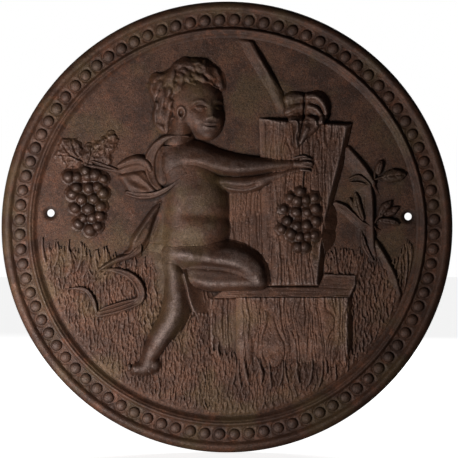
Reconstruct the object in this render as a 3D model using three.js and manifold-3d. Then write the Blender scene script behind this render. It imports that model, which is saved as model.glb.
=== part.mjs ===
// A round cast-iron fireback: a flat plate with a beaded moulding round it and a raised scene, in
// which a plump child holds a bunch of grapes beside an upright board and a block, in tall grass.
//
// Millimetres. The plate stands upright with X to the right and Z up, and its decorated face looks
// along -Y. The origin is the centre of the flat back face. A casting like this is drawn from one
// pattern that a carver builds up from separate motifs, and each motif is one sub-part here.

import * as THREE from 'three';
import { mergeVertices } from 'three/addons/utils/BufferGeometryUtils.js';
import Module from 'manifold-3d';

const wasm = await Module();
wasm.setup();

// ---- Driving dimensions ------------------------------------------------------------------------

const discRadius = 225;
const plateThickness = 7;
const clearance = 0.3; // between neighbours that don't rest flat on each other

// The moulding, from the field outwards. Heights are above the field.
const coveWidth = 5;
const coveHeight = 5;
const grooveWidth = 2;
const grooveDepth = 0.8;
const filletWidth = 3;
const filletHeight = 5.8;
const channelWall = 1;
const channelWidth = 13.5;
const channelFloor = 1.5;
const bandWidth = 3.5;
const bandHeight = 4.5;
const rollWidth = 8;
const rollHeight = 6.5;

// The beads in the channel
const beadPitch = 14.8;
const beadDiameter = 11.6;
const beadHeight = 5;
const beadStrip = 1; // thickness of the strip that a row of beads stands on
const beadRows = 4;

// The two fixing holes, each as far inside the moulding and above the centre as on the casting
const holeDiameter = 7.5;
const countersinkDiameter = 15;
const countersinkDepth = 2.5;
const leftHole = { side: -1, margin: 12.4, rise: 14 };
const rightHole = { side: 1, margin: 7.7, rise: 10.5 };

// Heights of the motifs above the field
const grassHeight = 1.4;
const boardHeight = 4.5;
const plankHeight = 3;
const blockHeight = 6.5;
const blockSideHeight = 4.5;
const blockTopHeight = 5;
const leafHeight = 4;
const vineLeafHeight = 9;
const hairHeight = 12; // of the mass that its locks lie on
const sprigHeight = 3;
const ribbonHeight = 5;
const bevel = 1.2; // the softened edge round every flat motif
const leafBevel = 1.8; // round the deep vine leaf
const hairBevel = 3.6; // round the mass of hair

// The grapes
const grapeRadius = 5.8;
const grapeBacking = 2; // height of the pad that joins the grapes of a bunch
const grapeLift = 1; // of a grape's centre above the pad's base

// How finely the curved shapes are cut
const ringSegments = 72;
const holeSegments = 20;
const beadSegments = 6;
const grapeDetail = [6, 5];
const limbSides = 6;
const ribbonSides = 4;
const sectionPitch = 11; // between the sections of a limb
const capAngles = [50]; // degrees round each limb's end

// ---- Derived sizes -----------------------------------------------------------------------------

const coveEnd = coveWidth + grooveWidth + filletWidth + channelWall + channelWidth + bandWidth + rollWidth;
const fieldRadius = discRadius - coveEnd;
const channelInner = fieldRadius + coveWidth + grooveWidth + filletWidth + channelWall;
const channelOuter = channelInner + channelWidth;
const beadCircle = (channelInner + channelOuter) / 2;
const beadsPerRow = Math.round((2 * Math.PI * beadCircle) / beadPitch / beadRows);
const reach = 60; // longer than any height here, for tools that cut right through

// The scene's points below are drawn for this field, and the scene is fitted to the field's size.
const drawnFieldRadius = 189;
const sceneFit = fieldRadius / drawnFieldRadius;

// ---- Solids ------------------------------------------------------------------------------------

// A closed geometry as a solid for joining and cutting, with its faces turned outwards.
function solid(geometry) {
  const bare = geometry.clone();
  bare.deleteAttribute('normal');
  bare.deleteAttribute('uv');
  const merged = mergeVertices(bare, 1e-4);
  const at = merged.attributes.position.array;
  const corners = Array.from(merged.index.array);
  const faces = [];
  let volume = 0;
  const [a, b, c] = [new THREE.Vector3(), new THREE.Vector3(), new THREE.Vector3()];
  for (let i = 0; i < corners.length; i += 3) {
    const [p, q, r] = corners.slice(i, i + 3);
    if (p === q || q === r || r === p) continue;
    faces.push([p, q, r]);
    volume += a.fromArray(at, 3 * p).dot(b.fromArray(at, 3 * q).cross(c.fromArray(at, 3 * r)));
  }
  const outward = volume > 0 ? faces : faces.map(([p, q, r]) => [p, r, q]);
  const mesh = new wasm.Mesh({
    numProp: 3,
    vertProperties: new Float32Array(at),
    triVerts: new Uint32Array(outward.flat()),
  });
  return new wasm.Manifold(mesh);
}

function geometryOf(body) {
  const mesh = body.getMesh();
  const geometry = new THREE.BufferGeometry();
  geometry.setAttribute('position', new THREE.BufferAttribute(new Float32Array(mesh.vertProperties), 3));
  geometry.setIndex(new THREE.BufferAttribute(new Uint32Array(mesh.triVerts), 1));
  geometry.computeVertexNormals();
  return geometry;
}

const joined = (bodies) => bodies.reduce((whole, body) => whole.add(body));

// Whether two bodies' boxes meet, as only then can one cut the other.
function meets(body, other) {
  const [a, b] = [body.boundingBox(), other.boundingBox()];
  return [0, 1, 2].every((axis) => a.min[axis] < b.max[axis] && b.min[axis] < a.max[axis]);
}

// Where a cut leaves crumbs beside a body, the body alone is kept.
function mainBody(body) {
  const pieces = body.decompose();
  return pieces.reduce((best, piece) => (piece.volume() > best.volume() ? piece : best));
}

// A tool for cutting: an upright cylinder along Y between two values of y.
function cylinderAlongY(radius, fromY, toY, segments, x = 0, z = 0, endRadius = radius) {
  const geometry = new THREE.CylinderGeometry(endRadius, radius, toY - fromY, segments);
  geometry.translate(x, (fromY + toY) / 2, z);
  return solid(geometry);
}

// ---- Builders of motifs ------------------------------------------------------------------------
// A builder takes grow, by which its sides stand further out, so that a neighbour can be cut clear
// of it. Points are [x, z] from the disc's centre.

// A closed smooth outline through a few points.
function smooth(points, perPoint = 3) {
  const loop = new THREE.CatmullRomCurve3(points.map(([x, z]) => new THREE.Vector3(x, z, 0)), true);
  return loop.getPoints(points.length * perPoint).slice(0, -1).map((p) => [p.x, p.y]);
}

// A flat motif of some height with softened edges. Its back lies on the plate's face.
function plaque(outline, height, grow = 0, edge = bevel) {
  const shape = new THREE.Shape(outline.map(([x, z]) => new THREE.Vector2(x, z)));
  const geometry = new THREE.ExtrudeGeometry(shape, {
    depth: height - edge,
    bevelEnabled: true,
    bevelThickness: edge,
    bevelSize: edge,
    bevelOffset: grow - edge,
    bevelSegments: 1,
  });
  geometry.rotateX(Math.PI / 2);
  geometry.translate(0, -plateThickness, 0);
  return solid(geometry);
}

// A leaf of pointed oval outline between two tips.
function leaf([ax, az], [bx, bz], halfWidth, height, grow = 0) {
  const length = Math.hypot(bx - ax, bz - az);
  const [ux, uz] = [(bx - ax) / length, (bz - az) / length];
  const outline = [];
  const steps = 6;
  for (const side of [1, -1]) {
    for (let i = 0; i < steps; i++) {
      const t = side > 0 ? i / steps : 1 - i / steps;
      const off = side * halfWidth * Math.sin(Math.PI * t) ** 0.8;
      outline.push([ax + ux * length * t - uz * off, az + uz * length * t + ux * off]);
    }
  }
  return plaque(outline, height, grow, bevel / 2);
}

// A lobed vine leaf round a centre.
function lobedLeaf([x, z], radius, lobes, turn, height, grow = 0) {
  const outline = [];
  const steps = lobes * 6;
  for (let i = 0; i < steps; i++) {
    const angle = (2 * Math.PI * i) / steps;
    const r = radius * (1 + 0.2 * Math.cos(lobes * angle));
    outline.push([x + r * Math.cos(angle + turn), z + r * Math.sin(angle + turn)]);
  }
  return plaque(outline, height, grow);
}

// A rounded limb or ribbon that lies on the field. Each station is [x, z, halfWidth, height]. The
// sections are half ellipses with their flat side on the plate, and both ends are rounded off.
function limb(stations, grow = 0, sides = limbSides) {
  const spine = new THREE.CatmullRomCurve3(stations.map(([x, z]) => new THREE.Vector3(x, 0, z)));
  const girth = new THREE.CatmullRomCurve3(stations.map(([, , w, h]) => new THREE.Vector3(w, h, 0)));
  const steps = Math.max(stations.length - 1, Math.round(spine.getLength() / sectionPitch));
  const sections = [];
  for (let i = 0; i <= steps; i++) {
    const along = spine.getTangent(i / steps);
    const size = girth.getPoint(i / steps);
    const centre = spine.getPoint(i / steps);
    sections.push({ centre, along, width: size.x + grow, height: size.y + grow });
  }
  const capped = [...cap(sections[0], -1).reverse(), ...sections, ...cap(sections[steps], 1)];
  const tips = [tip(sections[0], -1), tip(sections[steps], 1)];
  return skin(capped, tips, sides);
}

// The shrinking sections that round off a limb's end.
function cap({ centre, along, width, height }, way) {
  return capAngles.map((degrees) => {
    const angle = THREE.MathUtils.degToRad(degrees);
    const shifted = centre.clone().addScaledVector(along, way * width * Math.sin(angle));
    const scale = Math.cos(angle);
    return { centre: shifted, along, width: width * scale, height: height * scale };
  });
}

const tip = ({ centre, along, width }, way) => centre.clone().addScaledVector(along, way * width);

// Closes a row of half-elliptic sections and its two tips into one body.
function skin(sections, tips, sides) {
  const points = [];
  for (const { centre, along, width, height } of sections) {
    for (let j = 0; j <= sides; j++) {
      const angle = (Math.PI * j) / sides;
      const off = -width * Math.cos(angle);
      const lift = height * Math.sin(angle);
      points.push([centre.x - along.z * off, -plateThickness - lift, centre.z + along.x * off]);
    }
  }
  const ring = sides + 1;
  const faces = [];
  const lastStart = (sections.length - 1) * ring;
  for (let start = 0; start < lastStart; start += ring) {
    for (let j = 0; j < ring; j++) {
      const next = (j + 1) % ring;
      faces.push([start + j, start + ring + j, start + ring + next]);
      faces.push([start + j, start + ring + next, start + next]);
    }
  }
  const firstTip = points.push([tips[0].x, -plateThickness, tips[0].z]) - 1;
  const lastTip = points.push([tips[1].x, -plateThickness, tips[1].z]) - 1;
  for (let j = 0; j < ring; j++) {
    const next = (j + 1) % ring;
    faces.push([firstTip, j, next]);
    faces.push([lastTip, lastStart + next, lastStart + j]);
  }
  const geometry = new THREE.BufferGeometry();
  geometry.setAttribute('position', new THREE.Float32BufferAttribute(points.flat(), 3));
  geometry.setIndex(faces.flat());
  return solid(geometry);
}

// An ellipsoid whose centre lies on the field or lift above it.
function lump([x, z], [halfX, halfZ], height, grow = 0, lift = 0, turn = 0, detail = [9, 6]) {
  const geometry = new THREE.SphereGeometry(1, ...detail);
  geometry.scale(halfX + grow, height + grow, halfZ + grow);
  geometry.rotateY(turn);
  geometry.translate(x, -plateThickness - lift, z);
  return solid(geometry);
}

// A bunch of grapes over whatever is base high, on a thin pad that joins them.
function bunch(centres, padOutline, base, grow = 0) {
  const pad = plaque(smooth(padOutline, 2), base + grapeBacking, grow, bevel / 2);
  const lift = base + grapeLift;
  const grapes = centres.map((at) =>
    lump(at, [grapeRadius, grapeRadius], grapeRadius, grow, lift, 0, grapeDetail));
  return joined([pad, ...grapes]);
}

// The top of a stand of grass: the line through some points, broken into blades.
function bladedLine(points, bladeWidth, bladeHeight) {
  const path = new THREE.CurvePath();
  for (let i = 1; i < points.length; i++) {
    path.add(new THREE.LineCurve(new THREE.Vector2(...points[i - 1]), new THREE.Vector2(...points[i])));
  }
  const steps = 2 * Math.round(path.getLength() / bladeWidth);
  return path.getSpacedPoints(steps).map(({ x, y }, i) => {
    const lift = i % 2 ? bladeHeight * (0.6 + 0.4 * Math.sin(2.3 * i)) : 0;
    return [x, y + lift];
  });
}

// ---- The plate, its moulding and its beads -----------------------------------------------------

function holePlace({ side, margin, rise }) {
  const distance = fieldRadius - margin;
  return [side * Math.sqrt(distance ** 2 - rise ** 2), rise];
}

// What the screws and their heads need: each bore, its countersink, and the room in front of it.
// In a drawing that is enlarged later, fit is by how much.
function holeTools(fit = 1) {
  const bore = holeDiameter / 2 / fit;
  const head = countersinkDiameter / 2 / fit;
  const face = -plateThickness;
  return joined([leftHole, rightHole].flatMap((hole) => {
    const [x, z] = holePlace(hole).map((at) => at / fit);
    return [
      cylinderAlongY(bore, -reach, reach, holeSegments, x, z),
      cylinderAlongY(head, face, face + countersinkDepth, holeSegments, x, z, bore),
      cylinderAlongY(head, -reach, face, holeSegments, x, z),
    ];
  }));
}

function backPlate() {
  return cylinderAlongY(discRadius, -plateThickness, 0, ringSegments).subtract(holeTools());
}

function rimMoulding() {
  const cove = fieldRadius + coveWidth;
  const groove = cove + grooveWidth;
  const fillet = groove + filletWidth;
  const band = channelOuter + bandWidth;
  const profile = [
    [fieldRadius, 0],
    [fieldRadius + coveWidth * 0.6, coveHeight * 0.4],
    [cove, coveHeight],
    [groove, coveHeight - grooveDepth],
    [groove, filletHeight],
    [fillet, filletHeight],
    [channelInner, channelFloor],
    [channelOuter, channelFloor],
    [channelOuter, bandHeight],
    [band, bandHeight],
    [band + rollWidth * 0.3, rollHeight],
    [band + rollWidth * 0.7, rollHeight * 0.85],
    [discRadius, rollHeight * 0.3],
    [discRadius, 0],
    [fieldRadius, 0],
  ];
  const points = profile.map(([r, height]) => new THREE.Vector2(r, -plateThickness - height));
  return solid(new THREE.LatheGeometry(points, ringSegments)).subtract(holeTools());
}

// One row of beads on its strip, in a share of the channel.
function beadRow(row) {
  const turn = (2 * Math.PI) / beadRows;
  const gap = clearance / 2 / beadCircle;
  const [from, to] = [row * turn + gap, (row + 1) * turn - gap];
  const strip = new THREE.Shape();
  strip.absarc(0, 0, channelOuter - clearance, from, to, false);
  strip.absarc(0, 0, channelInner + clearance, to, from, true);
  const geometry = new THREE.ExtrudeGeometry(strip, {
    depth: beadStrip,
    bevelEnabled: false,
    curveSegments: beadsPerRow,
  });
  geometry.rotateX(Math.PI / 2);
  geometry.translate(0, -plateThickness - channelFloor, 0);
  const beads = [];
  for (let i = 0; i < beadsPerRow; i++) {
    const angle = (row + (i + 0.5) / beadsPerRow) * turn;
    beads.push(bead(beadCircle * Math.cos(angle), beadCircle * Math.sin(angle)));
  }
  return joined([solid(geometry), ...beads]);
}

function bead(x, z) {
  const radius = beadDiameter / 2;
  const base = -plateThickness - channelFloor - beadStrip / 2;
  const dome = [[0, 0], [radius, 0], [radius * 0.8, beadHeight * 0.62], [0, beadHeight - beadStrip / 2]];
  const points = dome.map(([r, height]) => new THREE.Vector2(r, base - height));
  const geometry = new THREE.LatheGeometry(points, beadSegments);
  geometry.translate(x, 0, z);
  return solid(geometry);
}

// ---- The scene's setting -----------------------------------------------------------------------

const board = (grow) => plaque([
  [31, 108], [124, 101], [117, 67], [110, 42], [105, 22], [100, -8], [95, -57], [35, -59], [33, 37],
], boardHeight, grow);

const plank = (grow) => plaque([[0, 37], [32.5, 37], [34.5, -59], [0, -59]], plankHeight, grow);

const blockFront = (grow) => plaque([[13, -69], [123, -69], [130, -58], [130, -136], [13, -138]],
  blockHeight, grow);

const blockSide = (grow) => plaque([[-19, -70], [12.7, -69], [12.7, -138], [-19, -129]],
  blockSideHeight, grow);

const blockTop = (grow) => plaque([
  [-17, -68.7], [122.5, -68.7], [130, -57], [130, -47], [96, -45], [95.3, -59.3], [-6, -59.3],
], blockTopHeight, grow);

const fieldEdge = drawnFieldRadius * 1.05;

function grass(points, foot) {
  return (grow) => plaque([...bladedLine(points, 6, 5), ...foot], grassHeight, grow, bevel / 4);
}

const grassLeft = grass(
  [[-187, -24], [-167, -20], [-147, -24], [-127, -26], [-107, -32], [-87, -32], [-67, -38], [-47, -58],
    [-32, -74], [-19.3, -74]],
  [[-19.3, -fieldEdge], [-fieldEdge, -fieldEdge], [-fieldEdge, -24]],
);

const grassRight = grass(
  [[97, -26], [118, -22], [133, -28], [148, -36], [166, -44], [172, -24], [180, -16], [188, -20]],
  [[fieldEdge, -20], [fieldEdge, -fieldEdge], [130, -fieldEdge], [130, -46.7], [97, -44.7]],
);

const grassFront = grass(
  [[-19, -132], [12, -139], [50, -141], [80, -143], [110, -140], [129.7, -138]],
  [[129.7, -fieldEdge], [-19, -fieldEdge]],
);

const vineBranch = (grow) => limb([
  [19, 189, 5, 5.5], [29, 172, 5, 5.5], [36, 159, 5, 5.5], [43, 147, 5, 5.5], [50, 138, 5, 5.5],
  [57, 132, 5, 6],
], grow);

const vineLeaf = (grow) => plaque(smooth([
  [55, 130], [63, 134], [76, 136], [88, 136], [98, 134], [104, 127], [105, 115], [102, 107], [93, 103],
  [91, 94], [83, 88], [75, 86], [71, 80], [67, 87], [69, 97], [63, 102], [56, 109], [53, 119],
], 2), vineLeafHeight, grow, leafBevel);

// ---- The plants on the left and right ----------------------------------------------------------

const leftGrapes = (grow) => bunch([
  [-158, 50], [-149, 50], [-139, 52], [-131, 51], [-122, 47], [-150, 38], [-139, 37], [-128, 40],
  [-155, 32], [-124, 33], [-145, 27], [-133, 27], [-151, 18], [-138, 17], [-126, 20], [-144, 8],
  [-134, 9], [-147, 1], [-136, -3], [-129, 1],
], [[-158, 50], [-140, 54], [-122, 47], [-126, 20], [-132, -2], [-147, 1], [-155, 32]], 0, grow);

const leftLeafOuter = (grow) => lobedLeaf([-159, 74], 13, 5, 0.5, leafHeight, grow);
const leftLeafInner = (grow) => lobedLeaf([-123, 80], 13, 5, 0.9, leafHeight, grow);
const leftLeafSmall = (grow) => lobedLeaf([-143, 76], 4.5, 4, 0.3, leafHeight, grow);

const leftStem = (grow) => limb([
  [-143, 58, 2, 4], [-139, 64, 2, 4], [-122, 61, 2, 4], [-105, 57, 2, 4],
], grow, ribbonSides);

const heldGrapes = (grow) => bunch([
  [73, 35], [63, 28], [70, 26], [78, 27], [86, 29], [56, 18], [69, 14], [79, 14], [87, 17], [60, 6],
  [70, 0], [79, 1], [88, 5], [54, -2], [63, -6], [71, -11], [80, -9], [86, -8], [70, -20], [77, -19],
], [[73, 36], [86, 29], [88, 5], [84, -10], [74, -21], [58, -3], [56, 18]], boardHeight, grow);

const heldStem = (grow) => limb([[76, 54, 1.8, 7.5], [75.5, 46, 1.8, 7.5], [75, 40, 1.8, 7.5]], grow,
  ribbonSides);

const sprigStem = (grow) => limb([
  [149, -34, 2.2, 3.5], [147, -8, 2.2, 3.5], [147, 12, 2.2, 3.5], [147, 29, 2, 3.5], [143, 45, 1.8, 3.5],
], grow, ribbonSides);

const sprigBranch = (grow) => limb([[106, 24, 1.8, 3], [128, 12, 1.8, 3], [146, 3, 1.8, 3]], grow,
  ribbonSides);

const sprigBlade = (grow) => plaque([
  [120, 77], [131, 65], [143, 49], [139, 47], [125, 50], [114, 47], [117, 62],
], sprigHeight, grow);

const sprigTwig = (grow) => limb([[122, 50, 1.6, 3.6], [131, 51, 1.6, 3.6], [143, 45, 1.6, 3.6]], grow,
  ribbonSides);

const sprigLeaf = (from, to, halfWidth) => (grow) => leaf(from, to, halfWidth, sprigHeight, grow);

const sprigLeaves = {
  sprig_leaf_bud: sprigLeaf([149, 53], [155, 67], 4),
  sprig_leaf_top: sprigLeaf([150, 48], [177, 53], 6.5),
  sprig_leaf_left: sprigLeaf([138, 6], [126, 34], 5),
  sprig_leaf_right: sprigLeaf([150, 9], [171, 25], 5.5),
  sprig_leaf_low: sprigLeaf([151, 6], [172, 2], 4),
};

const sprigTail = (grow) => limb([
  [150, -16, 1.8, 3], [158, -31, 3, 3.5], [166, -48, 2.6, 3.5], [171, -63, 1.2, 2.5],
], grow, ribbonSides);

// ---- The child ---------------------------------------------------------------------------------

const nearArm = (grow) => limb([
  [-56, 66, 14, 13], [-42, 71, 16.5, 16], [-27, 69, 15, 16], [-12, 64, 13.5, 15], [3, 60.5, 12.5, 14],
  [23, 60, 10.2, 13], [43, 61, 8.3, 12], [58, 62.2, 7, 11], [68, 62.7, 7, 11],
], grow);

const nearHand = (grow) => joined([
  ...[68, 64, 60, 56].map((z) => limb([[74, z, 2.3, 11], [84, z, 2.3, 11.5]], grow, ribbonSides)),
  limb([[69, 72, 2, 9], [74, 66, 2.5, 10.5]], grow, ribbonSides),
  lump([78, 62], [7, 9], 9, grow, 0, 0, [8, 6]),
]);

const farArm = (grow) => limb([
  [-6, 44, 8, 8], [13, 46, 7.5, 9], [28, 47, 7, 9], [45, 51.5, 6, 9], [60, 55.5, 5, 8.5], [68, 57, 4.5, 8],
], grow);

const hair = (grow) => joined([
  plaque(smooth([
    [-76, 137], [-75, 150], [-67, 153], [-59, 159], [-49, 167], [-37, 170], [-24, 169], [-15, 163],
    [-8, 155], [-4, 145], [-4, 139], [-14, 141], [-32, 140], [-44, 136], [-50, 124], [-53, 108],
    [-62, 100], [-74, 108], [-76, 122],
  ], 1), hairHeight, grow, hairBevel),
  ...[
    [-68, 144, 9], [-56, 152, 9], [-44, 160, 9], [-31, 163, 9], [-19, 158, 9], [-10, 149, 8],
    [-64, 130, 9], [-66, 116, 8], [-58, 108, 7], [-52, 140, 10], [-38, 149, 10], [-24, 147, 9],
  ].map(([x, z, radius]) => lump([x, z], [radius, radius * 0.8], radius * 0.75, grow, 9, 0.6, [7, 5])),
]);

// A round doll-like head turned a little to the right, with a plain nose and ear, and its neck.
const head = (grow) => joined([
  lump([-34, 124], [27, 30], 15, grow),
  lump([-27, 110], [21, 20], 15, grow),
  lump([-15, 114], [4, 6], 4.5, grow, 12.5),
  lump([-47, 115], [4, 6], 5, grow, 11),
  lump([-50, 97], [13, 14], 10.5, grow),
]);

const torso = (grow) => limb([
  [-48, 78, 17, 11], [-44, 60, 22, 12.5], [-34, 42, 29, 13.5], [-31, 27, 32, 14], [-31, 12, 32.5, 14.5],
  [-31, -3, 33, 15], [-34, -18, 32, 14.5], [-38, -28, 28, 13],
], grow, limbSides + 1);

const thigh = (grow) => limb([
  [-58, -28, 13, 13], [-43, -29.5, 14.5, 15.5], [-27, -30.5, 15, 16.5], [-7, -32, 15.7, 17],
  [13, -36, 15, 16.5], [27, -43, 12, 15], [32, -48, 10.5, 14],
], grow);

const calf = (grow) => limb([
  [35, -58, 6, 9], [13, -57, 8.5, 11], [-7, -54.5, 9, 11.5], [-26, -50, 9, 11], [-40, -46, 8, 10],
], grow);

const kneelingFoot = (grow) => limb([
  [-29, -58, 9, 6.5], [-28.5, -72, 9.5, 7], [-28, -82, 8, 6.5],
], grow);

const standingLeg = (grow) => limb([
  [-54, -38, 10, 12], [-52.5, -58, 9.3, 13], [-52.5, -73, 9.6, 13.5], [-55, -88, 10.6, 13.5],
  [-63, -103, 10.8, 13], [-71, -118, 9.3, 11.5], [-76, -132, 8, 9.5],
], grow);

const standingFoot = (grow) => limb([
  [-75, -141, 7.5, 8], [-83, -144, 7.5, 7.5], [-92, -145, 6, 6],
], grow);

// ---- The sash ----------------------------------------------------------------------------------

const shoulderSash = (grow) => limb([
  [-36, 90, 2.6, 11], [-48, 88, 3.2, 12], [-61, 82, 3.6, 11], [-70.5, 71, 3.6, 9], [-74, 57, 3.6, 8],
  [-72, 43, 3.4, 7.5], [-66, 35, 3, 8],
], grow, ribbonSides);

const underarmSash = (grow) => limb([
  [-96, 37, 3.6, 5], [-84, 33, 4, 6.5], [-68, 33, 3.4, 8.5], [-54, 41, 3.2, 12], [-42, 49, 3, 14],
], grow, ribbonSides);

const sashKnot = (grow) => plaque(smooth([
  [-109, 50], [-99, 56], [-91, 60], [-92, 67], [-87, 70], [-81, 67], [-79, 58], [-80, 48], [-78, 38],
  [-88, 38], [-99, 43],
], 2), ribbonHeight, grow);

const sashFall = (grow) => plaque(smooth([
  [-67, 25], [-77, 12], [-87, 1], [-94, -8], [-99, -21], [-106, -29], [-96, -31], [-88, -25],
  [-84, -16], [-77, -8], [-70, 2], [-65, 14],
], 2), ribbonHeight, grow);

const sashTurn = (grow) => limb([
  [-108, -31, 3.2, 4.5], [-119, -38, 4, 5], [-126, -46, 3.4, 4.5],
], grow, ribbonSides);

const sashLoop = (grow) => limb([
  [-118, -47, 3, 4], [-103, -47.5, 4, 5], [-91, -53, 5.4, 6], [-86, -66, 5.6, 6.5], [-91, -78, 5, 6],
  [-104, -82, 6, 5.5], [-120, -82, 8, 5], [-129, -85, 4.5, 4.5],
], grow, ribbonSides);

const sashEnd = (grow) => limb([
  [-133, -79, 3, 5], [-135, -70, 3.2, 5], [-142, -63, 3, 4.5], [-151, -61.5, 2.2, 4], [-159, -62, 1.4, 3],
], grow, ribbonSides);

// ---- Materials ---------------------------------------------------------------------------------

const castIron = (color, roughness) => () =>
  new THREE.MeshStandardMaterial({ color, roughness, metalness: 0.6 });

const fieldIron = castIron(0x4a352d, 0.7);
const rimIron = castIron(0x46332b, 0.6);
const settingIron = castIron(0x54413a, 0.65);
const plantIron = castIron(0x4d3a31, 0.6);
const skinIron = castIron(0x6a5a55, 0.45);
const sashIron = castIron(0x59463b, 0.55);

// ---- The assembly ------------------------------------------------------------------------------
// In the scene, a motif gives way to each one that stands before it in this list.

const motifs = [
  ['grass_left', grassLeft, settingIron],
  ['grass_right', grassRight, settingIron],
  ['grass_front', grassFront, settingIron],
  ['board', board, settingIron],
  ['plank', plank, settingIron],
  ['block_front', blockFront, settingIron],
  ['block_side', blockSide, settingIron],
  ['block_top', blockTop, settingIron],
  ['vine_leaf', vineLeaf, plantIron],
  ['vine_branch', vineBranch, plantIron],
  ['near_hand', nearHand, skinIron],
  ['near_arm', nearArm, skinIron],
  ['hair', hair, skinIron],
  ['shoulder_sash', shoulderSash, sashIron],
  ['head', head, skinIron],
  ['underarm_sash', underarmSash, sashIron],
  ['thigh', thigh, skinIron],
  ['calf', calf, skinIron],
  ['torso', torso, skinIron],
  ['far_arm', farArm, skinIron],
  ['standing_leg', standingLeg, skinIron],
  ['standing_foot', standingFoot, skinIron],
  ['kneeling_foot', kneelingFoot, skinIron],
  ['sash_knot', sashKnot, sashIron],
  ['sash_fall', sashFall, sashIron],
  ['sash_turn', sashTurn, sashIron],
  ['sash_loop', sashLoop, sashIron],
  ['sash_end', sashEnd, sashIron],
  ['left_grapes', leftGrapes, plantIron],
  ['left_leaf_outer', leftLeafOuter, plantIron],
  ['left_leaf_inner', leftLeafInner, plantIron],
  ['left_leaf_small', leftLeafSmall, plantIron],
  ['left_stem', leftStem, plantIron],
  ['held_grapes', heldGrapes, plantIron],
  ['held_stem', heldStem, plantIron],
  ['sprig_stem', sprigStem, plantIron],
  ['sprig_twig', sprigTwig, plantIron],
  ['sprig_branch', sprigBranch, plantIron],
  ['sprig_blade', sprigBlade, plantIron],
  ['sprig_tail', sprigTail, plantIron],
  ...Object.entries(sprigLeaves).map(([name, make]) => [name, make, plantIron]),
];

function named(name, body, material) {
  const mesh = new THREE.Mesh(geometryOf(body), material());
  mesh.name = name;
  return mesh;
}

// The room over the field, in which the whole scene stands clear of the moulding and the screws.
function sceneRoom() {
  const radius = (fieldRadius - clearance) / sceneFit;
  const field = cylinderAlongY(radius, -plateThickness - reach, -plateThickness, ringSegments);
  return field.subtract(holeTools(sceneFit));
}

function scene() {
  const group = new THREE.Group();
  group.scale.set(sceneFit, 1, sceneFit);
  const room = sceneRoom();
  const standing = [];
  for (const [name, make, material] of motifs) {
    const whole = make(0).intersect(room);
    const nearby = standing.filter((other) => meets(whole, other));
    const cut = nearby.reduce((body, other) => body.subtract(other), whole);
    group.add(named(name, mainBody(cut), material));
    standing.push(make(clearance));
  }
  return group;
}

const fireback = new THREE.Group();
fireback.add(named('back_plate', backPlate(), fieldIron));
fireback.add(named('rim_moulding', rimMoulding(), rimIron));
for (let row = 0; row < beadRows; row++) {
  fireback.add(named(`bead_row_${row + 1}`, beadRow(row), rimIron));
}
fireback.add(scene());

export default fireback;
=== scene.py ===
import functools
import math

import bpy
import numpy as np
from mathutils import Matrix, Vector


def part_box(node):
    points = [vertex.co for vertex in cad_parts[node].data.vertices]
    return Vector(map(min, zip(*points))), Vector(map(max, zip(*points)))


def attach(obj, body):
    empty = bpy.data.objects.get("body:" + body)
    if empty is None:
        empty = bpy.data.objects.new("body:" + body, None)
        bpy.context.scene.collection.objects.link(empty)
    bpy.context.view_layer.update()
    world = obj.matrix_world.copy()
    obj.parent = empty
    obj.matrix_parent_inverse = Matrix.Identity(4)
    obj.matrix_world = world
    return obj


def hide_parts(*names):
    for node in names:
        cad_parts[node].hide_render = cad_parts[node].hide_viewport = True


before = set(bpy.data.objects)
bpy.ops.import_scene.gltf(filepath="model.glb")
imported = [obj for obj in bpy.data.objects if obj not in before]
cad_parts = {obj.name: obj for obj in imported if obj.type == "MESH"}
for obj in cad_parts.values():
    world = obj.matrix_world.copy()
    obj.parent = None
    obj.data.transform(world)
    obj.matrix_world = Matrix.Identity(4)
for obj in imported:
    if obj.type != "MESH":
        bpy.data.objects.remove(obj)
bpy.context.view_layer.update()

# A round cast-iron fireback. Its relief is sculpted here as a height over the plate's face, one motif
# after the other from the back to the front, and each motif becomes a closed piece of its own.
#
# Lengths are millimetres, [x, z] from the disc's centre, until a mesh is made in metres. The face
# looks along -Y, and a height is measured from the plate's face towards -Y.

# ---- Sizes -----------------------------------------------

MM = 0.001
plate_low, plate_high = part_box("back_plate")
DISC = plate_high.x / MM  # radius of the disc
PLATE = -plate_low.y / MM  # its thickness
MOULDING = 36  # width of the moulding, from the field's edge to the disc's
FIELD = DISC - MOULDING

CELL = 0.6  # between the samples of the relief
SAMPLED = 192  # half the width of the square of samples
MARGIN = 20  # round a node's box, within which its motif may lie
EDGE_ROOM, EDGE_FADE = 0.5, 3  # how near the field's edge motifs end, and over what width they sink
SEAM = 0.04  # how far a motif stands out of what is under it where its piece ends
SINK = 0.5  # how deep a piece reaches into the plate
RELIEF_TOP = 17  # height of the highest motif
FAR_BELOW = -8.0  # a height under any relief, where a limb isn't

# What counts as a worn edge and as a raised form: how far each stands over its surroundings, and how
# wide these are.
WEAR_FULL, WEAR_SPREAD = 1.2, 2.2
SHADE_FULL, SHADE_SPREAD = 3, 6

BEADS = 88
BEAD_ROWS = 4
CHANNEL, CHANNEL_WIDTH = 11, 13.5  # where the beads' channel starts, from the field's edge
BEAD_CIRCLE = FIELD + CHANNEL + CHANNEL_WIDTH / 2
BEAD_RADIUS = 5.7
BEAD_TOP = 4.1  # height of a bead's top over the field
BEAD_FLOOR = 1.0  # height where its round begins

HOLES = [(-176.044, 14.0), (180.996, 10.5)]
BORE = 3.75  # radius of a hole
SINK_MOUTH = 7.5  # radius of its countersink
SINK_DEPTH = 2.5

# ---- Smooth noise ----------------------------------------

LATTICE = np.random.default_rng(7).random((64, 256, 256)).astype(np.float32)


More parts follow.
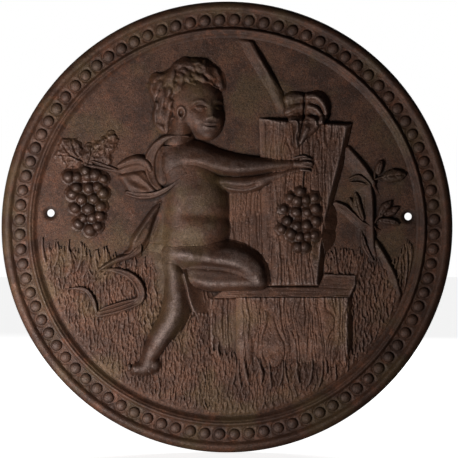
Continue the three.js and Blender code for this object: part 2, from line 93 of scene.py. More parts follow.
def noise(x, z, layer):
    """Smooth value noise from -1 to 1, with features about one unit wide. Each layer is another pattern."""
    table = LATTICE[layer]
    x0 = np.floor(x).astype(int)
    z0 = np.floor(z).astype(int)
    fx = x - x0
    fz = z - z0
    fx = fx * fx * (3 - 2 * fx)
    fz = fz * fz * (3 - 2 * fz)
    low = table[z0 & 255, x0 & 255] * (1 - fx) + table[z0 & 255, (x0 + 1) & 255] * fx
    high = table[(z0 + 1) & 255, x0 & 255] * (1 - fx) + table[(z0 + 1) & 255, (x0 + 1) & 255] * fx
    return (low * (1 - fz) + high * fz) * 2 - 1


def ground(x, z):
    """The field itself: flat, but never quite, as sand-cast plates are."""
    return 0.22 * noise(x / 34 + 9, z / 34 + 5, 1) + 0.07 * noise(x / 9, z / 9, 2)


# ---- Sculpting tools -------------------------------------
# A form takes the sample points X, Z and gives a height over the field, negative where it has none.


def unit(a):
    """The value, held between 0 and 1."""
    return np.clip(a, 0, 1)


def bell(a):
    """A smooth bump, 1 where a is 0 and nearly 0 beyond 2."""
    return np.exp(-(a**2))


def soft_max(a, b, k):
    """The larger of two heights, rounded where they come within k of each other."""
    gap = np.clip(k - np.abs(a - b), 0, None)
    return np.maximum(a, b) + gap * gap / (4 * k)


def soft_min(a, b, k):
    """The smaller of two heights, rounded in the same way."""
    return -soft_max(-a, -b, k)


def joined(k, *forms):
    """Forms run together, each into the ones before it."""
    return functools.reduce(lambda whole, form: soft_max(whole, form, k), forms)


def curve(points, step):
    """A Catmull-Rom curve through the points, of any number of columns, resampled evenly."""
    p = np.asarray(points, float)
    ends = np.vstack([2 * p[0] - p[1], p, 2 * p[-1] - p[-2]])
    out = []
    for i in range(len(p) - 1):
        a, b, c, d = ends[i : i + 4]
        count = max(2, int(np.hypot(*(c - b)[:2]) / step))
        t = np.linspace(0, 1, count, endpoint=False)[:, None]
        bend, twist = 2 * a - 5 * b + 4 * c - d, 3 * b - a - 3 * c + d
        out.append(0.5 * (2 * b + (c - a) * t + bend * t**2 + twist * t**3))
    out.append(p[-1:])
    return np.vstack(out)


def dome(ratio, power):
    """Height from 1 to 0 of a rounded section at a ratio of its half width, and below 0 outside it."""
    return np.where(ratio < 1, 1 - np.abs(ratio) ** power, power * (1 - ratio))


def blur(a, spread):
    """A Gaussian blur over a spread in millimetres."""
    reach = int(3 * spread / CELL)
    kernel = np.exp(-0.5 * (np.arange(-reach, reach + 1) * CELL / spread) ** 2)
    kernel /= kernel.sum()
    for _ in range(2):
        padded = np.pad(a, ((reach, reach), (0, 0)), mode="edge")
        total = sum(k * padded[i : i + a.shape[0]] for i, k in enumerate(kernel))
        a = total.T
    return a


def smoothed(h, spread):
    """The same form with its creases rounded off, down to its foot, which keeps its outline."""
    inner = unit((h - 1.2) / 3)
    return h + inner * (blur(np.maximum(h, 0), spread) - h)


def limb(X, Z, stations, step=1.0, power=2.0):
    """A rounded limb through stations [x, z, half width, height]."""
    h = np.full(X.shape, FAR_BELOW)
    for cx, cz, w, top in curve(stations, step):
        rows, columns = near(X, Z, cx, cz, 1.6 * w + 2)
        if rows is None:
            continue
        ratio = np.hypot(X[rows, columns] - cx, Z[rows, columns] - cz) / max(w, 0.3)
        h[rows, columns] = np.maximum(h[rows, columns], dome(ratio, power) * top)
    return h


def near(X, Z, cx, cz, reach):
    """The rows and columns of a window that lie within reach of a point, or None where none do."""
    i0, i1 = np.searchsorted(X[0], [cx - reach, cx + reach])
    j0, j1 = np.searchsorted(Z[:, 0], [cz - reach, cz + reach])
    if i0 >= i1 or j0 >= j1:
        return None, None
    return slice(j0, j1), slice(i0, i1)


def lump(X, Z, x, z, half_x, half_z, top, turn=0.0, power=2.0):
    """An ellipsoid's cap, turned anticlockwise by degrees."""
    a = math.radians(turn)
    u = (X - x) * math.cos(a) + (Z - z) * math.sin(a)
    v = -(X - x) * math.sin(a) + (Z - z) * math.cos(a)
    return dome(np.hypot(u / half_x, v / half_z), power) * top


def mound(X, Z, x, z, half_x, half_z):
    """A smooth bump from 1 at its middle to 0, to be added to a surface."""
    return np.exp(-1.5 * ((X - x) ** 2 / half_x**2 + (Z - z) ** 2 / half_z**2))


def from_segment(X, Z, a, b):
    """Where on a segment the nearest place to each sample is, from 0 to 1, and its squared distance."""
    d = b - a
    t = unit(((X - a[0]) * d[0] + (Z - a[1]) * d[1]) / max(d @ d, 1e-9))
    return t, (X - a[0] - t * d[0]) ** 2 + (Z - a[1] - t * d[1]) ** 2


def beside(X, Z, points, smooth=True):
    """How far each sample is to the left of a line through the points, and how far along it, 0 to 1."""
    p = curve(points, 1.5)[:, :2] if smooth else np.asarray(points, float)[:, :2]
    best = np.full(X.shape, np.inf)
    along = np.zeros(X.shape)
    side = np.ones(X.shape)
    for i, (a, b) in enumerate(zip(p, p[1:])):
        t, far = from_segment(X, Z, a, b)
        nearer = far < best
        best = np.where(nearer, far, best)
        along = np.where(nearer, (i + t) / (len(p) - 1), along)
        on_left = (b[0] - a[0]) * (Z - a[1]) > (b[1] - a[1]) * (X - a[0])
        side = np.where(nearer, np.where(on_left, 1, -1), side)
    return side * np.sqrt(best), along


def to_line(X, Z, points, smooth=True):
    """Distance from each sample to a line through the points, and how far along it."""
    v, along = beside(X, Z, points, smooth)
    return np.abs(v), along


def line(X, Z, points, half_width):
    """A bump of 1 along a line, thinning out towards its ends."""
    d, along = to_line(X, Z, points)
    ends = unit(np.minimum(along, 1 - along) * 6 + 0.35)
    return np.exp(-1.2 * (d / half_width) ** 2) * ends


def stroked(X, Z, h, *lines):
    """A form with lines (height, half width, points) raised on it, or sunk where the height is below 0."""
    for height, half_width, points in lines:
        h = h + height * line(X, Z, points, half_width)
    return h


def ridge(X, Z, stations, rise, fall):
    """A crest through stations [x, z, height] that rises gently from its left and drops on its right."""
    c = curve(stations, 1.5)
    v, along = beside(X, Z, c, smooth=False)
    top = np.interp(along, np.linspace(0, 1, len(c)), c[:, 2])
    gentle = unit(1 - v / rise) ** 1.6 - 0.3 * (v > 0.97 * rise)
    steep = 1 - (v / fall) ** 2
    return top * np.maximum(np.where(v > 0, gentle, steep), -1)


def closed_curve(points):
    """A smooth loop through the points."""
    p = list(points)
    wrapped = np.array(p[-2:] + p + p[:2], float)
    out = curve(wrapped, 2.0)
    from_start = np.hypot(*(out - wrapped[2]).T)
    first = int(np.argmin(from_start))
    from_start[: first + 4] = np.inf
    return out[first : int(np.argmin(from_start))]


def inside(X, Z, outline, smooth=False):
    """Signed distance to a closed outline, positive inside it."""
    p = closed_curve(outline) if smooth else np.asarray(outline, float)
    best = np.full(X.shape, np.inf)
    within = np.zeros(X.shape, bool)
    for a, b in zip(np.roll(p, 1, axis=0), p):
        best = np.minimum(best, from_segment(X, Z, a, b)[1])
        if a[1] != b[1]:
            crosses = (a[1] > Z) != (b[1] > Z)
            within ^= crosses & (X < a[0] + (Z - a[1]) / (b[1] - a[1]) * (b[0] - a[0]))
    return np.where(within, 1, -1) * np.sqrt(best)


def slab(distance, top, run):
    """A flat motif that rises to its top over a run from its edge, with the arris softened."""
    return soft_min(distance / run, np.ones_like(distance), 0.35) * top


def patch(X, Z, outline, top, run):
    """A flat form in a smooth outline."""
    return slab(inside(X, Z, outline, smooth=True), top, run)


def stalks(X, Z, *paths):
    """Thin round forms, each through its own stations, run together where they meet."""
    return joined(0.3, *(limb(X, Z, stations, 0.6) for stations in paths))


def leaf(X, Z, base, tip, half_width, top, bend, veins=0):
    """A full oval leaf, domed across, with a sunk midrib, a bend to one side and pairs of side veins."""
    (ax, az), (bx, bz) = base, tip
    length = math.hypot(bx - ax, bz - az)
    ux, uz = (bx - ax) / length, (bz - az) / length
    u = ((X - ax) * ux + (Z - az) * uz) / length
    v = (X - ax) * -uz + (Z - az) * ux - bend * np.sin(np.pi * unit(u))
    wide = half_width * np.sin(np.pi * unit(u) ** 0.9) ** 0.45
    beyond = -np.hypot(v, length * np.maximum(-u, u - 1))
    edge = np.where((u > 0) & (u < 1), wide - np.abs(v), beyond)
    edge += 0.5 * noise(X / 2.4, Z / 2.4, 42)
    round_top = unit(1 - (v / np.maximum(wide, 0.5)) ** 2) * np.clip(4 * (1 - u), 0.3, 1)
    h = slab(edge, top * 0.55, 1.3) + 0.75 * top * round_top * (edge > 0)
    h -= 0.8 * bell(v / 0.9) * (u > 0.03) * (u < 0.85)
    for i in range(veins):
        start = 0.15 + 0.7 * i / veins
        slant = (u - start) * length - 0.8 * np.abs(v)
        h -= 0.45 * bell(slant / 0.8) * (edge > 0)
    return h


# ---- The relief and its pieces ---------------------------

half_count = int(SAMPLED / CELL)
axis = np.arange(-half_count, half_count + 1) * CELL
all_x, all_z = np.meshgrid(axis, axis)
relief = ground(all_x, all_z)
carved = []  # (name, rows, columns, surface, region, material)


def window(name):
    """The rows and columns of samples that a node's solid covers, with a margin round them."""
    low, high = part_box(name)
    i0, i1 = np.searchsorted(axis, [low.x / MM - MARGIN, high.x / MM + MARGIN])
    j0, j1 = np.searchsorted(axis, [low.z / MM - MARGIN, high.z / MM + MARGIN])
    return slice(j0, j1), slice(i0, i1)


def carve(shape, material, blend):
    """Raises a motif out of the relief, and keeps the surface and region of its piece."""
    name = shape.__name__
    rows, columns = window(name)
    X, Z = all_x[rows, columns], all_z[rows, columns]
    before = relief[rows, columns].copy()
    room = FIELD - EDGE_ROOM - np.hypot(X, Z)
    after = before + (soft_max(before, shape(X, Z), blend) - before) * unit(room / EDGE_FADE)
    relief[rows, columns] = after
    region = (after - before > SEAM) & (room > 0)
    carved.append((name, rows, columns, after, region, material))


def tidy_cells(cells):
    """Removes cells that touch the rest only at a corner, and patches too small to be a motif."""
    for _ in range(6):
        a, b = cells[:-1, :-1], cells[:-1, 1:]
        c, d = cells[1:, :-1], cells[1:, 1:]
        falling = a & d & ~b & ~c
        rising = b & c & ~a & ~d
        if not (falling.any() or rising.any()):
            break
        cells[:-1, 1:] |= falling
        cells[:-1, :-1] |= rising
    return big_patches(cells)


LEAST_PATCH = 60  # cells in the smallest patch that is kept


def big_patches(cells):
    """Keeps the patches of cells that join side by side, apart from the smallest ones."""
    parent, runs = [], []

    def root(i):
        while parent[i] != i:
            i = parent[i]
        return i

    previous = []
    for j, row in enumerate(cells):
        edges = np.flatnonzero(np.diff(np.concatenate([[0], row.astype(np.int8), [0]])))
        current = []
        for start, stop in zip(edges[::2], edges[1::2]):
            label = len(parent)
            parent.append(label)
            for p_start, p_stop, p_label in previous:
                if p_start < stop and start < p_stop:
                    parent[root(label)] = root(p_label)
            current.append((start, stop, label))
            runs.append((j, start, stop, label))
        previous = current
    sizes = {}
    for _, start, stop, label in runs:
        sizes[root(label)] = sizes.get(root(label), 0) + stop - start
    for j, start, stop, label in runs:
        if sizes[root(label)] < LEAST_PATCH:
            cells[j, start:stop] = False
    return cells


def new_mesh(name, points, faces, sizes=None):
    """A mesh in metres from points in millimetres, and quads or the corners of faces of other sizes."""
    corners = np.ravel(faces)
    if sizes is None:
        sizes = np.full(len(faces), 4)
    mesh = bpy.data.meshes.new(name)
    mesh.vertices.add(len(points))
    mesh.vertices.foreach_set("co", (np.asarray(points) * MM).astype(np.float32).ravel())
    mesh.loops.add(len(corners))
    mesh.loops.foreach_set("vertex_index", np.asarray(corners, np.int32))
    mesh.polygons.add(len(sizes))
    starts = np.concatenate([[0], np.cumsum(sizes)[:-1]]).astype(np.int32)
    mesh.polygons.foreach_set("loop_start", starts)
    mesh.update(calc_edges=True)
    mesh.validate()
    return mesh


def add_piece(name, points, faces, is_front, values, material, sizes=None, smooth=None):
    """The piece that replaces a node, with its map for baking and the values that its material reads."""
    mesh = new_mesh(name, points, faces, sizes)
    mesh.polygons.foreach_set("use_smooth", is_front if smooth is None else smooth)
    set_bake_uv(mesh, is_front, share(points[:, 0]), share(points[:, 2]))
    for key, amounts in values.items():
        layer = mesh.attributes.new(key, "FLOAT", "POINT")
        layer.data.foreach_set("value", np.asarray(amounts, np.float32))
    mesh.materials.append(material)
    piece = bpy.data.objects.new(name.title().replace("_", ""), mesh)
    bpy.context.scene.collection.objects.link(piece)
    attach(piece, "root")
    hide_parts(name)


def set_bake_uv(mesh, front, across, up):
    """Front faces take most of the square, seen from the front, and the others a strip above them."""
    uv = mesh.uv_layers.new(name="OFBake")
    corner = np.empty(len(mesh.loops), np.int32)
    mesh.loops.foreach_get("vertex_index", corner)
    totals = np.empty(len(mesh.polygons), np.int32)
    mesh.polygons.foreach_get("loop_total", totals)
    on_front = np.repeat(front, totals)
    u = across[corner] * 0.98 + 0.01
    v = np.where(on_front, up[corner] * 0.9 + 0.01, up[corner] * 0.05 + 0.94)
    uv.data.foreach_set("uv", np.column_stack([u, v]).astype(np.float32).ravel())


def share(values):
    """The values as shares of the way from the lowest to the highest."""
    low, high = values.min(), values.max()
    return (values - low) / max(high - low, 1e-9)


BLOCK = 8  # cells along the side of the large faces on a piece's hidden back


def build_relief(name, rows, columns, surface, region, material):
    """The closed piece of a motif: its sculpted front, its walls and a flat back in the plate."""
    cells = tidy_cells(region[:-1, :-1] & region[:-1, 1:] & region[1:, :-1] & region[1:, 1:])
    count = region.size
    index = np.arange(count).reshape(region.shape)
    fronts = quads(index, cells)
    backs, back_sizes = back_faces(cells, index + count)
    walls = wall_faces(cells, index, count)
    across = np.tile(all_x[rows, columns].ravel(), 2)
    up = np.tile(all_z[rows, columns].ravel(), 2)
    depth = np.concatenate([-PLATE - surface.ravel(), np.full(count, -PLATE + SINK)])
    corners = np.concatenate([fronts.ravel(), walls.ravel(), backs])
    used, corners = np.unique(corners, return_inverse=True)
    sizes = np.concatenate([np.full(len(fronts) + len(walls), 4), back_sizes]).astype(np.int32)
    points = np.column_stack([across, depth, up])[used]
    is_front = np.arange(len(sizes)) < len(fronts)
    values = {key: np.tile(field[rows, columns].ravel(), 2)[used] for key, field in VALUES.items()}
    add_piece(name, points, corners, is_front, values, material, sizes)


def quads(index, cells):
    """A face over each of the cells, from the indices of the points at their corners."""
    j, i = np.nonzero(cells)
    return np.stack([index[j, i], index[j, i + 1], index[j + 1, i + 1], index[j + 1, i]], axis=1)


# Each side of a cell: where its neighbour is, and the side's two corners, as steps in (row, column).
SIDES = [
    ((-1, 0), (0, 0), (0, 1)), ((0, 1), (0, 1), (1, 1)), ((1, 0), (1, 1), (1, 0)), ((0, -1), (1, 0), (0, 0)),
]


def wall_faces(cells, index, under):
    """A quad on each open side of the cells, from the front down to the back."""
    walls = []
    ringed = np.pad(cells, 1)
    height, width = cells.shape
    for (dj, di), a, b in SIDES:
        neighbour = ringed[1 + dj : 1 + dj + height, 1 + di : 1 + di + width]
        j, i = np.nonzero(cells & ~neighbour)
        first, second = index[j + a[0], i + a[1]], index[j + b[0], i + b[1]]
        walls.append(np.stack([second, first, first + under, second + under], axis=1))
    return np.vstack(walls)


def back_faces(cells, index):
    """Flat faces over the cells: blocks of them joined where they are whole, and single ones elsewhere."""
    height, width = cells.shape
    high, wide = height // BLOCK, width // BLOCK
    trimmed = cells[: high * BLOCK, : wide * BLOCK].reshape(high, BLOCK, wide, BLOCK)
    whole = np.pad(trimmed.all(axis=(1, 3)), 1)
    corners, sizes = [], []
    single = cells.copy()
    for J, I in zip(*np.nonzero(whole[1:-1, 1:-1])):
        j, i = J * BLOCK, I * BLOCK
        single[j : j + BLOCK, i : i + BLOCK] = False
        neighbours = [whole[J, I + 1], whole[J + 1, I + 2], whole[J + 2, I + 1], whole[J + 1, I]]
        sides = [
            [(j, i + k) for k in range(BLOCK)],
            [(j + k, i + BLOCK) for k in range(BLOCK)],
            [(j + BLOCK, i + BLOCK - k) for k in range(BLOCK)],
            [(j + BLOCK - k, i) for k in range(BLOCK)],
        ]
        loop = [at for joined, side in zip(neighbours, sides) for at in (side[:1] if joined else side)]
        corners += [index[at] for at in reversed(loop)]
        sizes.append(len(loop))
    singles = quads(index, single)[:, [0, 3, 2, 1]]
    sizes = np.array(sizes + [4] * len(singles), int)
    return np.concatenate([np.array(corners, int), singles.ravel()]), sizes


# ---- The plate -------------------------------------------

PLATE_CELLS = 216  # along each side of the square net that is drawn out into the disc
HOLE_CELLS = 6  # from a hole's middle to the edge of the patch round it
EDGE_ROUND = 1.2


def net_on_disc(count, radius):
    """A square net drawn out evenly into a disc, as [row, column, (x, z)]."""
    t = np.linspace(-1, 1, count + 1)
    a, b = np.meshgrid(t, t)
    wide = np.abs(a) > np.abs(b)
    big = np.where(wide, a, b)
    ratio = np.divide(np.where(wide, b, a), big, out=np.zeros_like(big), where=big != 0)
    angle = np.pi / 4 * ratio
    x = np.where(wide, big * np.cos(angle), big * np.sin(angle))
    z = np.where(wide, big * np.sin(angle), big * np.cos(angle))
    return np.stack([x, z], axis=2) * radius


def add_ring(points, x, y, z):
    """Adds points to a list of arrays of them, and gives their indices."""
    first = sum(map(len, points))
    points.append(np.column_stack(np.broadcast_arrays(x, y, z)))
    return np.arange(first, first + len(points[-1]))


def plate_mesh():
    """The plate: front and back nets, its rounded edge, and a countersunk bore at each hole."""
    net = net_on_disc(PLATE_CELLS, DISC - EDGE_ROUND)
    x, z = net.reshape(-1, 2).T
    index = np.arange(len(x)).reshape(net.shape[:2])
    fade = unit((FIELD + 6 - np.hypot(x, z)) / 12)  # of the field's waves, under the moulding
    points = []
    add_ring(points, x, -PLATE - ground(x, z) * fade, z)
    behind = add_ring(points, x, -0.15 + 0.15 * noise(x / 28, z / 28, 3), z)[0]
    cells = np.ones((PLATE_CELLS, PLATE_CELLS), bool)
    loops = []
    for at_x, at_z in HOLES:
        j, i = divmod(int(np.argmin(np.hypot(x - at_x, z - at_z))), PLATE_CELLS + 1)
        j0, j1, i0, i1 = j - HOLE_CELLS, j + HOLE_CELLS, i - HOLE_CELLS, i + HOLE_CELLS
        cells[j0:j1, i0:i1] = False
        loops.append(round_edge(index[j0 : j1 + 1, i0 : i1 + 1]))
    fronts = quads(index, cells)
    faces = [fronts, fronts[:, ::-1] + behind]
    for (at_x, at_z), loop in zip(HOLES, loops):
        faces.append(bands(hole_rings(points, at_x, at_z, loop)))
    rim = round_edge(index)
    out_x, out_z = net.reshape(-1, 2)[rim].T / np.hypot(x[rim], z[rim])
    # Round the back's edge in three steps, then forward to just behind the face.
    edge = [(turn, -EDGE_ROUND * (1 - math.cos(math.radians(turn)))) for turn in (30, 60, 90)]
    rings = [rim + behind]
    for turn, y in edge + [(90, -PLATE + 0.3)]:
        r = DISC - EDGE_ROUND * (1 - math.sin(math.radians(turn)))
        rings.append(add_ring(points, out_x * r, y, out_z * r))
    faces.append(bands(rings + [rim]))
    return np.vstack(points), np.vstack(faces)


def round_edge(index):
    """The indices along the four sides of a square of them, anticlockwise from its first."""
    return np.concatenate([index[0, :-1], index[:-1, -1], index[-1, :0:-1], index[:0:-1, 0]])


def hole_rings(points, x, z, loop):
    """Rings of points from the front net into the countersink, through the bore and to the back net."""
    front, back = points[0][loop], points[1][loop]
    angle = np.arctan2(front[:, 2] - z, front[:, 0] - x)
    at_loop = np.hypot(front[:, 2] - z, front[:, 0] - x)
    lip = SINK_MOUTH + 0.5
    face, behind = front[:, 1].mean(), back[:, 1].mean()
    bore_start = face + SINK_DEPTH
    # Each ring between the net and the lip: a share of the way out. Each further in: a radius. And its y.
    profile = [
        (0.66, None, face), (0.33, None, face), (0, lip, face + 0.05), (0, SINK_MOUTH - 0.3, face + 0.4),
        (0, BORE + 0.9, bore_start - 0.45), (0, BORE + 0.2, bore_start), (0, BORE, bore_start + 0.6),
        (0, BORE, behind - 0.6), (0, BORE + 0.2, behind - 0.1), (0, BORE + 0.8, behind),
        (0.33, None, behind), (0.66, None, behind),
    ]
    rings = [loop]
    for out, radius, y in profile:
        r = radius or lip * (1 - out) + at_loop * out
        rings.append(add_ring(points, x + r * np.cos(angle), y, z + r * np.sin(angle)))
    return rings + [loop + len(points[0])]


def bands(rings):
    """Quads between each ring of points and the next."""
    faces = []
    for a, b in zip(rings, rings[1:]):
        faces.append(np.stack([a, np.roll(a, -1), np.roll(b, -1), b], axis=1))
    return np.vstack(faces)


# ---- The moulding and its beads --------------------------

AROUND = 20 * BEADS  # points round the moulding
SOCKET = 5.6  # radius of the round socket that each bead sits in
WEB = 1.9  # height of the iron between two sockets

# The moulding's profile: how far out from the field, and how high over it.
PROFILE = [
    (-0.5, -0.4), (0, 0), (1.0, 0.3), (2.0, 0.9), (3.1, 2.0), (4.1, 2.9), (4.8, 3.1), (5.5, 3.1), (6.2, 4.0),
    (7.0, 4.6), (7.9, 4.5), (8.8, 3.7), (9.8, 2.2), (10.7, 1.3), (11.6, 1.2), (12.6, 1.3), (24.4, 1.4),
    (25.4, 1.9), (26.3, 2.8), (27.2, 3.7), (28.2, 4.3), (29.4, 4.6), (30.7, 4.5), (32, 4.0), (33.3, 3.2),
    (34.6, 2.0), (35.5, 1.0), (35.85, 0.4), (36, -0.6),
]


def moulding_mesh():
    """A dense ring of points over the moulding, closed by a flat back in the plate."""
    out, high = np.array(PROFILE).T
    # The profile's own places, with denser ones in the channel and down the outer side.
    steps = np.unique(np.concatenate([out, np.linspace(11.4, 25.2, 20), np.linspace(28, MOULDING, 14)]))
    angle = np.arange(AROUND) * 2 * math.pi / AROUND
    S, A = np.meshgrid(steps, angle, indexing="ij")
    height = moulding_height(S, A, out, high)
    r = FIELD + S
    points = [np.stack([r * np.cos(A), -PLATE - height, r * np.sin(A)], axis=2).reshape(-1, 3)]
    rings = [np.arange(AROUND) + k * AROUND for k in reversed(range(len(steps)))]
    for back_r in (FIELD + steps[0] + 0.4, FIELD + steps[-1] - 0.4):
        rings.append(add_ring(points, back_r * np.cos(angle), -PLATE + SINK, back_r * np.sin(angle)))
    faces = bands(rings + rings[:1])
    pad = np.zeros(2 * AROUND)
    wear_and_painted_light = (height - blur_across(height, steps, WEAR_SPREAD)) / WEAR_FULL
    shade = (height - blur_across(height, steps, SHADE_SPREAD)) / SHADE_FULL
    fields = {"wear_and_painted_light": wear_and_painted_light, "shade": shade, "lift": height / RELIEF_TOP}
    values = {key: np.append(field, pad) for key, field in fields.items()}
    return np.vstack(points), faces, (len(steps) - 1) * AROUND, values


def moulding_height(S, A, out, high):
    """The profile's height at a distance from the field and an angle, with sockets round the beads."""
    height = np.interp(S, out, high)
    wave = noise(A * 30, S / 6, 4) * 0.12
    pitch = 2 * math.pi / BEADS
    aside = ((A / pitch) % 1 - 0.5) * pitch * (FIELD + S)
    from_bead = np.hypot(aside, FIELD + S - BEAD_CIRCLE)
    web = WEB * unit((from_bead - SOCKET) / 2.2)
    channel = (S > CHANNEL) & (S < CHANNEL + CHANNEL_WIDTH + 0.5)
    return np.where(channel, np.maximum(height, web), height) + wave * (S > 0.2) * (S < MOULDING - 0.5)


def blur_across(height, steps, spread):
    """Blurs a ring's heights along its radius, over a spread in millimetres."""
    weights = np.exp(-0.5 * ((steps[:, None] - steps[None]) / spread) ** 2)
    weights *= np.gradient(steps)[None]
    return (weights / weights.sum(axis=1, keepdims=True)) @ height


def bead_mesh(first, count):
    """A row of cast beads, each a little different, with their feet in the plate."""
    around, rings = 24, 7
    ring_angles = [2 * math.pi * i / around for i in range(around)]
    points, faces, sizes, lifts = [], [], [], []
    for k in range(first, first + count):
        turn = (k + 0.5) * 2 * math.pi / BEADS
        out = BEAD_CIRCLE + 0.12 * math.sin(5.1 * k)
        x, z = out * math.cos(turn), out * math.sin(turn)
        radius = BEAD_RADIUS + 0.12 * math.sin(2.7 * k + 1)
        top = BEAD_TOP + 0.15 * math.sin(3.3 * k + 2)
        base = len(points)
        points.append((x, -PLATE - top, z))
        lifts.append(1)
        for ring in range(1, rings + 1):
            a = math.pi / 2 * ring / rings
            r, y = radius * math.sin(a), -PLATE - BEAD_FLOOR - (top - BEAD_FLOOR) * math.cos(a)
            points += [(x + r * math.cos(b), y, z + r * math.sin(b)) for b in ring_angles]
            lifts += [math.cos(a)] * around
        foot = -PLATE + SINK
        points += [(x + radius * math.cos(b), foot, z + radius * math.sin(b)) for b in ring_angles]
        lifts += [0] * around
        for i in range(around):
            faces += [base, base + 1 + i, base + 1 + (i + 1) % around]
        sizes += [3] * around
        for ring in range(rings):
            a, b = base + 1 + ring * around, base + 1 + (ring + 1) * around
            for i in range(around):
                j = (i + 1) % around
                faces += [a + i, b + i, b + j, a + j]
        sizes += [4] * around * rings
        last = base + 1 + rings * around
        faces += [last + i for i in reversed(range(around))]
        sizes.append(around)
    return np.array(points), np.array(faces), np.array(sizes), np.array(lifts)


# ---- Grass and wood --------------------------------------


BLADE_PITCH = 3.1


def grass(X, Z, outline, layer, tufts, rise, mat_rise=0.45):
    """A thin mat of grass, covered with hundreds of upright blades that end in points.

    The tufts are single blades: each its foot's place, length, half width, lean, bow and height.
    """
    edge = inside(X, Z, outline)
    mat = slab(edge, mat_rise, 2.5) + 0.3 * noise(X / 2.2, Z / 9, layer)
    mat = np.where(edge > -1.5, mat, -1)
    draw = np.random.default_rng(layer)
    left, right, low, high = X.min(), X.max(), Z.min(), Z.max()
    blades = np.full(X.shape, -2.0)
    for x in np.arange(left, right, BLADE_PITCH):
        z = low - draw.uniform(0, 12)
        while z < high:
            length = draw.uniform(6, 14)
            at_x = x + draw.uniform(-1.3, 1.3)
            lean = draw.normal(0.03, 0.15)
            bow = draw.normal(0, 0.9)
            wide = draw.uniform(1.1, 2.2)
            top = draw.uniform(0.55, 1) * rise
            rows, columns = near(X, Z, at_x, z, 1)
            if rows is not None and edge[rows, columns].max() > 0 and math.hypot(at_x, z) < FIELD - 4:
                add_blade(blades, X, Z, at_x, z, length, wide, lean, bow, top)
            z += length * draw.uniform(0.45, 0.75)
    for x, z, length, wide, lean, bow, top in tufts:
        add_blade(blades, X, Z, x, z, length, wide, lean, bow, top)
    rough = 0.42 * noise(X / 1.5, Z / 2.4, layer + 1)
    return soft_max(mat, blades, 0.2) + rough * unit(edge / 2)


def add_blade(h, X, Z, x, z, length, half_width, lean, bow, top):
    """One blade from its foot upwards, widest low down and pointed at its end."""
    rows, columns = near(X, Z, x + lean * length / 2, z + length / 2, length * 0.6 + abs(bow) + 3)
    if rows is None:
        return
    u = (Z[rows, columns] - z) / length
    v = X[rows, columns] - x - lean * (u * length) - bow * np.sin(np.pi * unit(u))
    wide = half_width * np.sqrt(unit(5 * u)) * unit(1.25 * (1 - u)) ** 0.6
    body = 1 - (v / np.maximum(wide, 0.05)) ** 2
    body = np.where((u > 0) & (u < 1), np.maximum(body, -1.5), -1.5)
    h[rows, columns] = np.maximum(h[rows, columns], body * top)


def grain(X, Z, layer, knots=(), wander=1.6):
    """Carved wood: wavy grooves that run up the board and part round its knots. From 0 to -1."""
    across = X + wander * noise(X / 17, Z / 32, layer) + 0.5 * noise(X / 5, Z / 9, layer + 3)
    for x, z, half_x, half_z in knots:
        spread = np.exp(-((X - x) / half_x) ** 2 - ((Z - z) / half_z) ** 2)
        across = across - 0.85 * (X - x) * spread
    lines = noise(across / 1.9, Z / 24, layer + 1)
    fine = noise(across / 1.2, Z / 7, layer + 2)
    rough = noise(X / 1.3, Z / 1.7, layer + 3)
    deep = bell(lines / 0.26)
    return -0.85 * deep - 0.35 * unit(fine) - 0.22 * rough


# ---- The setting -----------------------------------------

GRASS_LEFT = [
    (-187, -26), (-167, -24), (-157, -28), (-147, -27), (-127, -33), (-118, -31), (-107, -38), (-90, -39),
    (-78, -41), (-60, -46), (-44, -60), (-17, -74), (-17, -188), (-188, -188),
]
GRASS_RIGHT = [
    (97, -30), (118, -27), (133, -30), (148, -38), (160, -46), (170, -36), (182, -20), (190, -20),
    (190, -188), (126, -188), (126, -50), (97, -44),
]
GRASS_FRONT = [
    (-21, -124), (12, -130), (50, -131), (80, -134), (110, -131), (130, -128), (130, -188), (-21, -188),
]


def grass_left(X, Z):
    tufts = [
        (-160, -50, 27, 5.4, 0.1, 3, 3.2), (-126, -42, 22, 5, 0.12, 2, 2.8),
        (-181, -36, 26, 3.4, -0.1, -2, 2.6), (-172, -40, 26, 3.2, 0.1, 2, 2.4),
        (-156, -42, 30, 3.6, -0.05, -2, 2.8), (-150, -44, 30, 3.4, 0.12, 3, 2.6),
        (-144, -50, 28, 3, 0.22, 3, 2.2), (-128, -46, 24, 3, -0.1, -2, 2.4),
        (-122, -46, 28, 3.4, 0.03, 2, 2.8), (-116, -48, 24, 3, 0.15, 3, 2.4),
        (-70, -70, 30, 2.6, -0.1, -2, 2.4), (-76, -66, 26, 2.4, 0.1, 2, 2.2),
        (-64, -80, 34, 2.4, 0.04, 2, 2.4),
    ]
    return grass(X, Z, GRASS_LEFT, 11, tufts, rise=2.3)


def grass_right(X, Z):
    tufts = [
        (174, -52, 32, 1.9, -0.02, -1, 2.0), (178, -56, 38, 2.1, 0.03, 1, 2.3),
        (181.5, -52, 38, 1.8, 0.04, 1.5, 2.1), (184.5, -54, 34, 1.9, 0.02, 1, 2.1),
        (187.5, -52, 30, 1.6, 0.05, 1, 1.9), (176, -70, 26, 2.2, 0.1, 1, 2.2),
        (158, -72, 26, 3.4, 0.3, 3, 2.6), (166, -76, 34, 3, 0.24, -2, 2.6),
        (112, -60, 34, 2.6, -0.12, 0, 2.0), (106, -56, 28, 2.4, 0.1, 1, 2.0),
        (124, -66, 38, 2.8, 0.16, 2, 2.2), (132, -64, 34, 2.6, -0.1, -2, 2.2),
    ]
    return grass(X, Z, GRASS_RIGHT, 14, tufts, rise=2.3)


